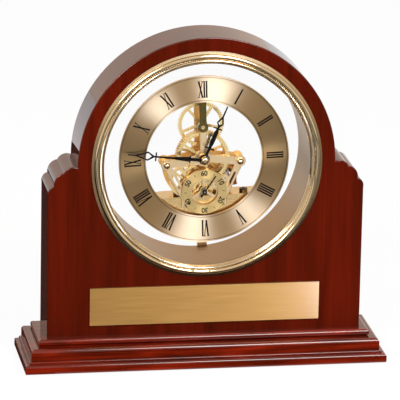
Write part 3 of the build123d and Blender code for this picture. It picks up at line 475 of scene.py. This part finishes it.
@dataclass(frozen=True)
class ClearSheet(Finish):
    """Clear float glass or cast acrylic: almost unseen, with a thin gloss."""

    alpha: float = 0.006

    def dress(self, tree: Tree, shader: bpy.types.Node) -> None:
        """Let light through, and leave the faintest haze in the gloss.

        Args:
            tree: The node tree.
            shader: Its shader node.
        """
        super().dress(tree, shader)
        shader.inputs["Alpha"].default_value = self.alpha


@dataclass(frozen=True)
class Felt(Finish):
    """Pressed wool felt: matt, with short fibres that catch light at the edge."""

    fibre_mm: float = 0.5
    fibre_rise_mm: float = 0.2
    fibre_relief: float = 0.6
    sheen: float = 0.4

    def dress(self, tree: Tree, shader: bpy.types.Node) -> None:
        """Add the fibres' relief and their sheen.

        Args:
            tree: The node tree.
            shader: Its shader node.
        """
        fibres = add_node(tree, "ShaderNodeTexNoise", {"Scale": 1.0, "Detail": 6.0},
                          {"Vector": self.place(tree, (self.fibre_mm,) * 3)})
        bump = add_node(tree, "ShaderNodeBump",
                        {"Strength": self.fibre_relief, "Distance": self.fibre_rise_mm * MM},
                        {"Height": fibres.outputs["Fac"]})
        tree.links.new(bump.outputs["Normal"], shader.inputs["Normal"])
        shader.inputs["Sheen Weight"].default_value = self.sheen


# Mahogany veneer, stained and sprayed with polyester: deep even red that mirrors the studio hard and white.
CASE_LACQUER = LacqueredWood("polyester_lacquered_veneer", "#450e03", 0.4)
# Moulded mahogany under the same polyester: level grain, open pores and reflections that waver a little.
BASE_LACQUER = LacqueredWood("polyester_lacquered_moulding", "#571103", 0.4, dark="#3a0a02", light="#7d1d0a",
                             way=Grain.LEVEL, ribbon_mm=6.0, pore_mm=1.0, pore_depth=0.34,
                             wave_mm=(46.0, 2.6, 2.6), wave_depth=0.2)
# Turned brass, polished and gold plated, its flange left satin: hard light and dark bands in a dull rim.
POLISHED_GOLD = TurnedRing("polished_gold_plated_brass", "#dac39c", 0.07, mottle=0.03)
# Knurled brass under the same plating: a row of small glints, paler than the smooth roll beside it.
MILLED_GOLD = Finish("knurled_gold_plated_brass", "#ded2bc", 0.16, metallic=1.0, mottle=0.04)
# Brass strip, plated and brushed lengthways: a dim, greenish gold that stays behind the bright ring.
BRIDGE_GOLD = BrushedMetal("brushed_gold_plated_strip", "#97844c", 0.2, way=Grain.UPRIGHT, depth=0.05)
# Aluminium tube, anodised gold to a satin: soft brown gold without a clear reflection.
TUBE_SATIN = BrushedMetal("satin_anodised_aluminium", "#a07e52", 0.36, way=Grain.ROUND, depth=0.05)
# Brass ring, brushed in circles: fans of white light on champagne gold, with a thin darker ring near each
# rim.
DIAL_BRUSHED = BrushedMetal("circle_brushed_brass", "#e3bd88", 0.31, way=Grain.ROUND, anisotropy=0.96,
                            dark_rings=(39.6, 55.2))
# Brass disc, brushed in circles about its own middle: a yellower gold with softer fans.
SUB_DIAL_GOLD = BrushedMetal("circle_brushed_brass_disc", "#dcc085", 0.36, way=Grain.ROUND, anisotropy=0.8,
                             about=SUB_DIAL)
# Stamped brass, gold plated to a satin: pale, even gold that draws the movement's outline.
PLATE_GOLD = BrushedMetal("satin_gold_plated_brass", "#ecd0a4", 0.3, way=Grain.UPRIGHT, depth=0.05)
# Cut brass wheels, bright gold plated: rims and spokes that sparkle.
WHEEL_GOLD = Finish("bright_gold_plated_brass", "#f2d698", 0.27, metallic=1.0)
# Brass with a matt, copper-toned plating: a warm glow that sets the rear plate back.
COPPER_GOLD = Finish("matt_copper_toned_brass", "#f4c880", 0.45, metallic=1.0)
# Brass sheet, brushed level for engraving: long streaks and a glow that grows towards one end.
ENGRAVING_BRASS = BrushedMetal("level_brushed_brass_sheet", "#cfa05c", 0.36, scratch_mm=0.5, anisotropy=0.8)
# Turned steel arbors and pinions: small, cool grey glints among the gold.
TURNED_STEEL = Finish("turned_steel", "#b9b4aa", 0.22, metallic=1.0)
# Steel screws and springs, chemically bronzed: dark brown with a low shine.
BRONZED_STEEL = Finish("bronzed_steel", "#5e4c30", 0.32, metallic=1.0)
# Stamped aluminium hands, sprayed black: a silhouette with next to no shine.
HAND_BLACK = Finish("black_sprayed_aluminium", "#0c0706", 0.4, specular=0.2)
# Ink, pad printed: flat black, duller than the hands.
PRINT_BLACK = Finish("black_printing_ink", "#0c0806", 0.6, specular=0.1)
# Moulded rubber: a soft black line that shows no light.
GASKET_RUBBER = Finish("black_moulded_rubber", "#141312", 0.7)
# Plastic film shrunk over a steel cell, left plain: smooth dark grey with a broad shine.
CELL_WRAP = Finish("plain_shrunk_film", "#33363a", 0.35)
# Glass-filled epoxy under solder mask: flat green with a slight gloss.
BOARD_GREEN = Finish("circuit_laminate", "#1f5a36", 0.45)
# Drawn steel can, tinned: a small, pale mirror.
CRYSTAL_CAN = Finish("tinned_steel_can", "#c9c9c6", 0.18, metallic=1.0)
# Enamelled copper wire, wound on a bobbin: fine level lines of orange light.
COIL_COPPER = BrushedMetal("enamelled_copper_winding", "#c48d48", 0.3, scratch_mm=0.2)
# Float glass: nothing but the faintest reflection over what lies behind it.
LENS_GLASS = ClearSheet("clear_float_glass", "#0a0c0b", 0.04, mottle=0.01)
# Cast acrylic sheet: as clear as the glass, with a softer gloss.
CARRIER_ACRYLIC = ClearSheet("clear_cast_acrylic", "#0a0b0c", 0.06, mottle=0.02)
# Pressed wool felt: matt black with a faint haze at its edge.
BASE_FELT = Felt("black_pressed_felt", "#17171a", 0.95)
# Foamed plastic tape: matt white, hidden behind the plate.
TAPE_FOAM = Finish("white_foam_tape", "#dddddd", 0.8)
# Moulded plastic, vacuum plated gold over level brushing: like the metal plates, a little glossier.
BOX_GOLD = BrushedMetal("gold_plated_moulded_plastic", "#dcbd86", 0.26, depth=0.04)


@dataclass
class Solids:
    """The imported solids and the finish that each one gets."""

    finishes: dict[Finish, tuple[str, ...]] = field(default_factory=lambda: {
        CASE_LACQUER: ("case_body",),
        BASE_LACQUER: ("base_top_tier", "base_middle_tier", "base_bottom_tier"),
        BASE_FELT: ("felt_sheet",),
        TAPE_FOAM: ("plate_tape",),
        ENGRAVING_BRASS: ("engraving_plate",),
        POLISHED_GOLD: ("bezel", "hand_nut", "pillar_nuts", "pillars"),
        TUBE_SATIN: ("housing_tube", "rear_ring"),
        DIAL_BRUSHED: ("chapter_ring",),
        SUB_DIAL_GOLD: ("sub_dial",),
        PLATE_GOLD: ("front_plate", "ring_posts", "top_post", "sub_dial_posts", "stator_posts",
                     "retaining_tab"),
        BRIDGE_GOLD: ("ring_bridge",),
        COPPER_GOLD: ("rear_plate", "setting_knob"),
        WHEEL_GOLD: ("intermediate_wheel", "seconds_wheel", "third_wheel", "centre_wheel", "cannon_pinion",
                     "hour_wheel", "minute_wheel"),
        TURNED_STEEL: ("rotor_pinion", "intermediate_pinion", "seconds_pinion", "third_pinion",
                       "minute_pinion", "centre_arbor", "rotor_magnet", "stator"),
        BRONZED_STEEL: ("shelf_bolts", "box_screws", "ring_screws", "carrier_screws", "rear_ring_screws",
                        "base_screws", "contact_positive", "contact_negative"),
        HAND_BLACK: ("minute_hand", "hour_hand", "seconds_hand"),
        LENS_GLASS: ("front_lens",),
        CARRIER_ACRYLIC: ("carrier_disc",),
        GASKET_RUBBER: ("lens_gasket",),
        BOX_GOLD: ("battery_box", "battery_door"),
        CELL_WRAP: ("battery_cell",),
        BOARD_GREEN: ("circuit_board",),
        CRYSTAL_CAN: ("quartz_crystal",),
        COIL_COPPER: ("motor_coil",),
    })

    def dress(self) -> None:
        """Give each solid its finish, and stop if one is left bare."""
        bare = set(frame["nodes"])
        for finish, names in self.finishes.items():
            material = finish.make()
            for name in names:
                node = frame["nodes"][name]
                node.data.materials.clear()
                node.data.materials.append(material)
                bare.discard(name)
                LOG.info("solid %s: %s", name, finish.name)
        if bare:
            raise ValueError(f"no finish for {sorted(bare)}")


def deselect() -> None:
    """Leave edit mode and select nothing."""
    if bpy.context.object and bpy.context.object.mode != "OBJECT":
        bpy.ops.object.mode_set(mode="OBJECT")
    bpy.ops.object.select_all(action="DESELECT")


def pick(obj: bpy.types.Object, test: Callable[[bpy.types.MeshVertex], bool]) -> None:
    """Open edit mode on an object with the vertices selected that pass a test.

    Args:
        obj: The object to edit.
        test: Says whether a vertex is wanted.
    """
    deselect()
    bpy.context.view_layer.objects.active = obj
    obj.select_set(True)
    bpy.ops.object.mode_set(mode="EDIT")
    bpy.ops.mesh.select_mode(type="VERT")
    bpy.ops.mesh.select_all(action="DESELECT")
    bpy.ops.object.mode_set(mode="OBJECT")
    for vertex in obj.data.vertices:
        vertex.select = test(vertex)
    bpy.ops.object.mode_set(mode="EDIT")


def taper(obj: bpy.types.Object, test: Callable[[bpy.types.MeshVertex], bool], shares: Triple) -> None:
    """Draw in the vertices that pass a test, about their middle.

    Args:
        obj: The object to edit.
        test: Says whether a vertex is wanted.
        shares: What is left of their spread along x, y and z.
    """
    pick(obj, test)
    bpy.ops.transform.resize(value=shares)
    deselect()


def bar(middle: Triple, size: Triple) -> bpy.types.Object:
    """Start a bar that edit mode then shapes.

    Args:
        middle: Where its middle is, in millimetres.
        size: Its three sides, in millimetres.

    Returns:
        The bar.
    """
    deselect()
    bpy.ops.mesh.primitive_cube_add(size=1, location=[c * MM for c in middle], scale=[s * MM for s in size])
    bpy.ops.object.transform_apply(location=True, rotation=True, scale=True)
    return bpy.context.object


def join(pieces: list[bpy.types.Object], name: str) -> bpy.types.Object:
    """Join objects into the first of them.

    Args:
        pieces: The objects.
        name: The name of the result.

    Returns:
        The joined object.
    """
    deselect()
    for piece in pieces:
        piece.select_set(True)
    bpy.context.view_layer.objects.active = pieces[0]
    bpy.ops.object.join()
    pieces[0].name = name
    return pieces[0]


def settle(obj: bpy.types.Object, matrix: Matrix) -> bpy.types.Object:
    """Move an object and apply its place, so that it sits at the origin unturned.

    Args:
        obj: The object.
        matrix: Where it goes.

    Returns:
        The same object.
    """
    deselect()
    obj.matrix_world = matrix
    obj.select_set(True)
    bpy.context.view_layer.objects.active = obj
    bpy.ops.object.transform_apply(location=True, rotation=True, scale=True)
    return obj


def copy_of(obj: bpy.types.Object) -> bpy.types.Object:
    """Copy an object together with its mesh.

    Args:
        obj: The object.

    Returns:
        The copy.
    """
    made = obj.copy()
    made.data = obj.data.copy()
    bpy.context.scene.collection.objects.link(made)
    return made


def finish_piece(obj: bpy.types.Object, finish: Finish, body: str) -> None:
    """Dress a new piece and let it ride on its body.

    Args:
        obj: The piece.
        finish: Its finish.
        body: The body that carries it.
    """
    obj.data.materials.clear()
    obj.data.materials.append(finish.make())
    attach(obj, body)
    LOG.info("piece %s: %s, %d faces", obj.name, finish.name, len(obj.data.polygons))


@dataclass
class RomanNumerals:
    """Twelve printed roman numerals, upright towards the rim, in millimetres and degrees."""

    names: tuple[str, ...] = ("XII", "I", "II", "III", "IIII", "V", "VI", "VII", "VIII", "IX", "X", "XI")
    step: float = 30.0
    inner: float = 41.6
    height: float = 11.1
    thick: float = 1.08
    thin: float = 0.5
    serif: float = 1.6
    serif_bar: float = 0.45
    serif_taper: float = 0.8
    serif_ink: float = 0.9
    ink: float = 0.05
    ink_taper: Pair = (0.97, 0.995)
    sunk: float = 0.25
    advance: dict[str, float] = field(default_factory=lambda: {"I": 1.55, "V": 3.3, "X": 3.3})
    spread: float = 1.25

    def stroke(self, bottom: float, top: float, width: float) -> bpy.types.Object:
        """Draw one stroke from the baseline to the cap line.

        Args:
            bottom: Where it stands on the baseline, from the letter's middle.
            top: Where it meets the cap line.
            width: How wide it is.

        Returns:
            The stroke, with its foot on y = 0.
        """
        made = bar((bottom, self.height / 2, self.ink / 2), (width, self.height, self.ink))
        if top != bottom:
            pick(made, lambda v: v.co.y > self.height / 2 * MM)
            bpy.ops.transform.translate(value=((top - bottom) * MM, 0, 0))
        taper(made, lambda v: v.co.z > self.ink / 2 * MM, (*self.ink_taper, 1))
        return made

    def foot(self, x: float, end: int) -> bpy.types.Object:
        """Draw the serif across one end of a stroke.

        Args:
            x: The stroke's end.
            end: 0 at the baseline, 1 at the cap line.

        Returns:
            The serif.
        """
        y = self.serif_bar / 2 + end * (self.height - self.serif_bar)
        deep = self.ink * self.serif_ink
        made = bar((x, y, deep / 2), (self.serif, self.serif_bar, deep))
        taper(made, lambda v: (v.co.y < y * MM) == (end == 1), (self.serif_taper, 1, 1))
        return made

    def letter(self, sign: str) -> bpy.types.Object:
        """Draw one letter about its middle.

        Args:
            sign: I, V or X.

        Returns:
            The letter's object.
        """
        wide = self.spread
        if sign == "I":
            parts = [self.stroke(0, 0, self.thick), self.foot(0, 0), self.foot(0, 1)]
        elif sign == "V":
            parts = [self.stroke(0, -wide, self.thick), self.stroke(0, wide, self.thin),
                     self.foot(-wide, 1), self.foot(wide, 1)]
        else:
            parts = [self.stroke(wide, -wide, self.thick), self.stroke(-wide, wide, self.thin)]
            parts += [self.foot(x, end) for x in (-wide, wide) for end in (0, 1)]
        return join(parts, f"letter_{sign}")

    def build(self) -> None:
        """Set the letters into numerals and the numerals round the ring."""
        masters = {sign: self.letter(sign) for sign in "IVX"}
        placed = []
        for i, name in enumerate(self.names):
            spot = DIAL.turned(self.step * i, self.inner * MM, self.sunk * MM)
            x = -sum(self.advance[sign] for sign in name) / 2
            for sign in name:
                x += self.advance[sign] / 2
                placed.append(settle(copy_of(masters[sign]), spot @ Matrix.Translation((x * MM, 0, 0))))
                x += self.advance[sign] / 2
        for master in masters.values():
            bpy.data.objects.remove(master)
        numerals = join(placed, "dial_numerals")
        finish_piece(numerals, PRINT_BLACK, "frame")


@dataclass
class SecondsMarks:
    """Printed figures and strokes on the seconds sub-dial, in millimetres and degrees."""

    figures: tuple[str, ...] = ("60", "10", "20", "30", "40", "50")
    step: float = 60.0
    figure_height: float = 3.5
    figure_share: float = 0.73
    figure_radius: float = 11.0
    squeeze: float = 0.92
    weight: float = 0.12
    tick_length: float = 1.6
    tick_width: float = 0.36
    tick_taper: float = 0.8
    sunk: float = 0.15
    ink: float = 0.05

    def figure(self, body: str) -> bpy.types.Object:
        """Print one figure.

        Args:
            body: The figure.

        Returns:
            Its mesh object.
        """
        deselect()
        bpy.ops.object.text_add()
        text = bpy.context.object.data
        text.body = body
        text.align_x = "CENTER"
        text.size = self.figure_height / self.figure_share * MM
        text.extrude = self.ink * MM
        text.offset = self.weight * MM
        bpy.ops.object.convert(target="MESH")
        return bpy.context.object

    def build(self) -> None:
        """Set the figures at each ten seconds and a stroke between each two."""
        middle = self.figure_radius + self.figure_height / 2
        squeeze = Matrix.Diagonal((self.squeeze, 1, 1, 1))
        placed = []
        for i, body in enumerate(self.figures):
            spot = SUB_DIAL.turned(self.step * i, self.figure_radius * MM, self.sunk * MM)
            placed.append(settle(self.figure(body), spot @ squeeze))
            tick = bar((0, 0, 0), (self.tick_width, self.tick_length, self.ink))
            taper(tick, lambda v: v.co.y > 0 and v.co.z > 0, (self.tick_taper, 1, 1))
            placed.append(settle(tick, SUB_DIAL.turned(self.step * (i + 0.5), middle * MM, self.sunk * MM)))
        marks = join(placed, "seconds_marks")
        finish_piece(marks, PRINT_BLACK, "frame")


@dataclass
class MilledEdge:
    """The coin-edged ring between the bezel's roll and its lip, in millimetres and degrees."""

    radius: float = 69.95
    ahead: float = 1.75
    bead: float = 0.95
    ridge: float = 1.0
    crown: float = 0.4
    twist: float = 24.0
    count: int = 300
    sides: int = 10
    taper: float = 0.72

    def build(self) -> None:
        """Model one ridge, then spin copies of it round the dial's axis."""
        deselect()
        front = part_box("case_body")[0].y
        crown = self.ridge * self.crown
        bpy.ops.mesh.primitive_cylinder_add(vertices=self.sides, radius=self.bead * MM, depth=crown * MM,
                                            rotation=(0, math.pi / 2, 0))
        ridge = bpy.context.object
        bpy.ops.object.transform_apply(location=True, rotation=True, scale=True)
        for side in (-1, 1):
            pick(ridge, lambda v: v.co.x * side > 0)
            step = (side * (self.ridge - crown) / 2 * MM, 0, 0)
            bpy.ops.mesh.extrude_region_move(TRANSFORM_OT_translate={"value": step})
            bpy.ops.transform.resize(value=(1, self.taper, self.taper))
        deselect()
        lean = Matrix.Rotation(math.radians(self.twist), 4, "Z")
        spot = Matrix.Translation((DIAL.x, front - self.ahead * MM, DIAL.z + self.radius * MM))
        settle(ridge, spot @ lean)
        pick(ridge, lambda v: True)
        turn = 2 * math.pi * (self.count - 1) / self.count
        bpy.ops.mesh.spin(steps=self.count - 1, dupli=True, angle=turn, center=(DIAL.x, DIAL.y, DIAL.z),
                          axis=(0, 1, 0))
        deselect()
        ridge.name = "milled_edge"
        finish_piece(ridge, MILLED_GOLD, "frame")


def seen(tree: Tree) -> Socket:
    """Say whether a ray comes from the camera, a reflection or through glass.

    Args:
        tree: The node tree.

    Returns:
        A socket that is one for such rays.
    """
    path = add_node(tree, "ShaderNodeLightPath")
    first = add_node(tree, "ShaderNodeMath", {"operation": "MAXIMUM"},
                     {0: path.outputs["Is Camera Ray"], 1: path.outputs["Is Glossy Ray"]})
    both = add_node(tree, "ShaderNodeMath", {"operation": "MAXIMUM"},
                    {0: first.outputs[0], 1: path.outputs["Is Transmission Ray"]})
    return both.outputs[0]


@dataclass(frozen=True)
class Sheet:
    """A sheet that glows and is seen only in reflections, in metres: a painted reflection, dark or pale,
    that lights and shades nothing.
    """

    name: str
    middle: Triple
    size: Pair
    tone: Triple
    tilt: float = 0.0

    def set_up(self) -> None:
        """Put the sheet in its place, raised from lying flat by its tilt in degrees."""
        deselect()
        bpy.ops.mesh.primitive_plane_add(size=1, location=self.middle,
                                         rotation=(math.radians(self.tilt), 0, 0))
        sheet = bpy.context.object
        sheet.name = self.name
        sheet.scale = (*self.size, 1)
        material = bpy.data.materials.new(self.name)
        material.use_nodes = True
        tree = material.node_tree
        glow = add_node(tree, "ShaderNodeEmission", {"Color": (*self.tone, 1), "Strength": 1.0})
        tree.links.new(glow.outputs[0], tree.nodes["Material Output"].inputs["Surface"])
        sheet.data.materials.append(material)
        # Only reflections see the sheet, so its glow is a painted reflection.
        sheet.visible_camera = False
        sheet.visible_diffuse = False
        sheet.visible_transmission = False
        sheet.visible_shadow = False


@dataclass(frozen=True)
class Lamp:
    """A soft box, in metres and watts, that lights everything or only the pieces of some finishes."""

    name: str
    spot: Triple
    size: Pair
    power: float
    aim: Triple = (0.0, 0.0, 0.11)
    tint: Triple = (1.0, 1.0, 1.0)
    only: tuple[Finish, ...] = ()

    @classmethod
    def on_floor(cls, name: str, middle: Pair, size: Pair, power: float, only: tuple[Finish, ...],
                 tint: Triple = (1.0, 1.0, 1.0)) -> "Lamp":
        """Lay a soft box just over the floor, face up.

        Args:
            name: The lamp's name.
            middle: Where its middle lies.
            size: Its width and depth.
            power: Its light in watts.
            only: The finishes that it lights.
            tint: The colour of its light.

        Returns:
            The lamp.
        """
        clear, above = 0.002, 1.0
        return cls(name, (*middle, clear), size, power, (*middle, above), tint, only)

    def hang(self) -> None:
        """Hang the lamp, turn it to its aim and keep it to its finishes, so that the lacquer stays deep."""
        data = bpy.data.lights.new(self.name, "AREA")
        data.shape = "RECTANGLE"
        data.size, data.size_y = self.size
        data.energy = self.power
        data.color = self.tint
        lamp = bpy.data.objects.new(self.name, data)
        bpy.context.scene.collection.objects.link(lamp)
        way = (Vector(self.aim) - Vector(self.spot)).to_track_quat("-Z", "Y").to_matrix().to_4x4()
        lamp.matrix_world = Matrix.Translation(self.spot) @ way
        if not self.only:
            return
        names = {finish.name for finish in self.only}
        lit = bpy.data.collections.new(f"{self.name}_pieces")
        for piece in bpy.data.objects:
            if piece.type == "MESH" and piece.data.materials and piece.data.materials[0].name in names:
                lit.objects.link(piece)
        lamp.light_linking.receiver_collection = lit
        lamp.visible_camera = False


@dataclass
class Studio:
    """Floor, light and camera, in metres, watts and degrees."""

    lens: float = 360.8
    sensor: float = 36.0
    far: float = 100.0
    eye: Triple = (-0.4300, -2.4843, 0.8517)
    azimuth: float = 9.778
    elevation: float = 16.451
    roll: float = 1.144
    floor_size: float = 30.0
    floor_tone: float = 0.9
    floor_roughness: float = 0.9
    floor_glow: float = 0.9
    fill: float = 0.55
    mirrored: Triple = (0.92, 0.82, 0.71)
    # Tones of the sheets of painted reflection: dark in front and to the left, pale behind.
    dark: Triple = (0.03, 0.026, 0.022)
    pale: Triple = (1.0, 0.85, 0.72)
    right: Triple = (0.47, -1.15, 1.09)
    left: Triple = (-0.78, -1.14, 0.93)
    box: Pair = (0.6, 0.6)
    right_power: float = 20.0
    left_power: float = 18.0
    cool_power: float = 32.0
    cool: Triple = (0.5, 0.85, 1.8)
    strip_x: float = 0.2
    strip_width: float = 1.8
    strips: tuple[tuple[str, float, float], ...] = (("near", -0.25, 0.1), ("middle", -0.5, 0.16),
                                                    ("far", -1.05, 0.45))

    def camera(self) -> None:
        """Put the camera where the photograph was taken from."""
        turn, lift, roll = (math.radians(a) for a in (self.azimuth, self.elevation, self.roll))
        ahead = Vector((math.sin(turn) * math.cos(lift), math.cos(turn) * math.cos(lift), -math.sin(lift)))
        right = Vector((math.cos(turn), -math.sin(turn), 0))
        up = right.cross(ahead)
        side = right * math.cos(roll) + up * math.sin(roll)
        top = up * math.cos(roll) - right * math.sin(roll)
        data = bpy.data.cameras.new("camera")
        data.lens = self.lens
        data.sensor_width = self.sensor
        data.clip_end = self.far
        eye = bpy.data.objects.new("camera", data)
        bpy.context.scene.collection.objects.link(eye)
        turned = Matrix((side, top, -ahead)).transposed().to_4x4()
        eye.matrix_world = Matrix.Translation(self.eye) @ turned
        bpy.context.scene.camera = eye

    def floor(self) -> None:
        """Lay a pale floor that reads as white and keeps a faint shadow."""
        deselect()
        bpy.ops.mesh.primitive_plane_add(size=self.floor_size)
        floor = bpy.context.object
        floor.name = "floor"
        material = bpy.data.materials.new("pale_floor")
        material.use_nodes = True
        tree = material.node_tree
        shader = tree.nodes["Principled BSDF"]
        shader.inputs["Base Color"].default_value = (*(self.floor_tone,) * 3, 1)
        shader.inputs["Roughness"].default_value = self.floor_roughness
        share = add_node(tree, "ShaderNodeMath", {"operation": "MULTIPLY", 1: self.floor_glow},
                         {0: seen(tree)})
        glow = add_node(tree, "ShaderNodeEmission", {"Strength": 1.0})
        mixed = add_node(tree, "ShaderNodeMixShader", None,
                         {0: share.outputs[0], 1: shader.outputs[0], 2: glow.outputs[0]})
        tree.links.new(mixed.outputs[0], tree.nodes["Material Output"].inputs["Surface"])
        floor.data.materials.append(material)

    def world(self) -> None:
        """Fill the room with white light, a little warmer where polished surfaces reflect it."""
        world = bpy.data.worlds.new("studio")
        world.use_nodes = True
        bpy.context.scene.world = world
        tree = world.node_tree
        fill = tree.nodes["Background"]
        fill.inputs["Color"].default_value = (1, 1, 1, 1)
        fill.inputs["Strength"].default_value = self.fill
        path = add_node(tree, "ShaderNodeLightPath")
        tone = add_node(tree, "ShaderNodeValToRGB",
                        {"stops": [(0.0, (1, 1, 1, 1)), (1.0, (*self.mirrored, 1))]},
                        {"Fac": path.outputs["Is Glossy Ray"]})
        white = add_node(tree, "ShaderNodeBackground", {"Strength": 1.0}, {"Color": tone.outputs["Color"]})
        mixed = add_node(tree, "ShaderNodeMixShader", None,
                         {0: seen(tree), 1: fill.outputs[0], 2: white.outputs[0]})
        tree.links.new(mixed.outputs[0], tree.nodes["World Output"].inputs["Surface"])

    def sheets(self) -> list[Sheet]:
        """List the sheets of painted reflection: dark ones lie in front and to the left, and a pale one
        stands behind.

        Returns:
            The sheets.
        """
        return [Sheet("front_sheet", (0.35, -1.1175, 0.0005), (2.5, 2.165), self.dark),
                Sheet("left_sheet", (-0.45, 0.27, 0.0005), (0.7, 0.66), self.dark),
                Sheet("back_sheet", (0.5, 3.0, 2.2), (8.0, 4.0), self.pale, 90.0)]

    def strip_lamps(self) -> list[Lamp]:
        """List lit strips of floor, for each group of metals as bright as it needs, with paper as one.

        Returns:
            The strips' lamps.
        """
        works = (SUB_DIAL_GOLD, PLATE_GOLD, WHEEL_GOLD, COPPER_GOLD, BOX_GOLD, TURNED_STEEL, BRONZED_STEEL)
        groups = {"rim": (0.55, (POLISHED_GOLD, MILLED_GOLD)), "tube": (0.6, (BRIDGE_GOLD, TUBE_SATIN)),
                  "dial": (0.4, (DIAL_BRUSHED,)), "works": (1.6, works)}
        wide = self.strip_width
        return [Lamp.on_floor(f"{name}_{group}_strip", (self.strip_x, y), (wide, deep),
                              light * math.pi * wide * deep, finishes)
                for group, (light, finishes) in groups.items() for name, y, deep in self.strips]

    def lamps(self) -> list[Lamp]:
        """List the lamps: two boxes for all, then those for one finish or a few.

        Returns:
            The lamps.
        """
        rims = (DIAL_BRUSHED, POLISHED_GOLD, MILLED_GOLD)
        plate = (ENGRAVING_BRASS,)
        return [Lamp("right_box", self.right, self.box, self.right_power),
                Lamp("left_box", self.left, self.box, self.left_power),
                *self.strip_lamps(),
                Lamp.on_floor("low_dial_box", (0.55, -0.3), (0.35, 0.35), 3.6, (DIAL_BRUSHED,)),
                Lamp("plate_box", (0.62, -1.0, 0.1), (0.5, 0.3), 14.0, tint=(0.95, 1.0, 1.25), only=plate),
                Lamp.on_floor("plate_end_box", (0.17, -0.17), (0.12, 0.1), 0.4, plate, (0.56, 1.0, 4.3)),
                Lamp("right_cool_box", self.right, self.box, self.cool_power, tint=self.cool, only=rims),
                Lamp("left_cool_box", self.left, self.box, self.cool_power, tint=self.cool, only=rims)]

    def build(self) -> None:
        """Set up the whole studio."""
        self.camera()
        self.floor()
        self.world()
        for sheet in self.sheets():
            sheet.set_up()
        for lamp in self.lamps():
            lamp.hang()
        settings = bpy.context.scene.view_settings
        settings.view_transform = "Standard"


def main() -> None:
    """Build the clock's looks, piece by piece."""
    logging.basicConfig(level=logging.INFO, format="%(name)s: %(message)s")
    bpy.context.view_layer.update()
    Solids().dress()
    for part in (RomanNumerals(), SecondsMarks(), MilledEdge(), Studio()):
        part.build()


if __name__ == "__main__":
    main()
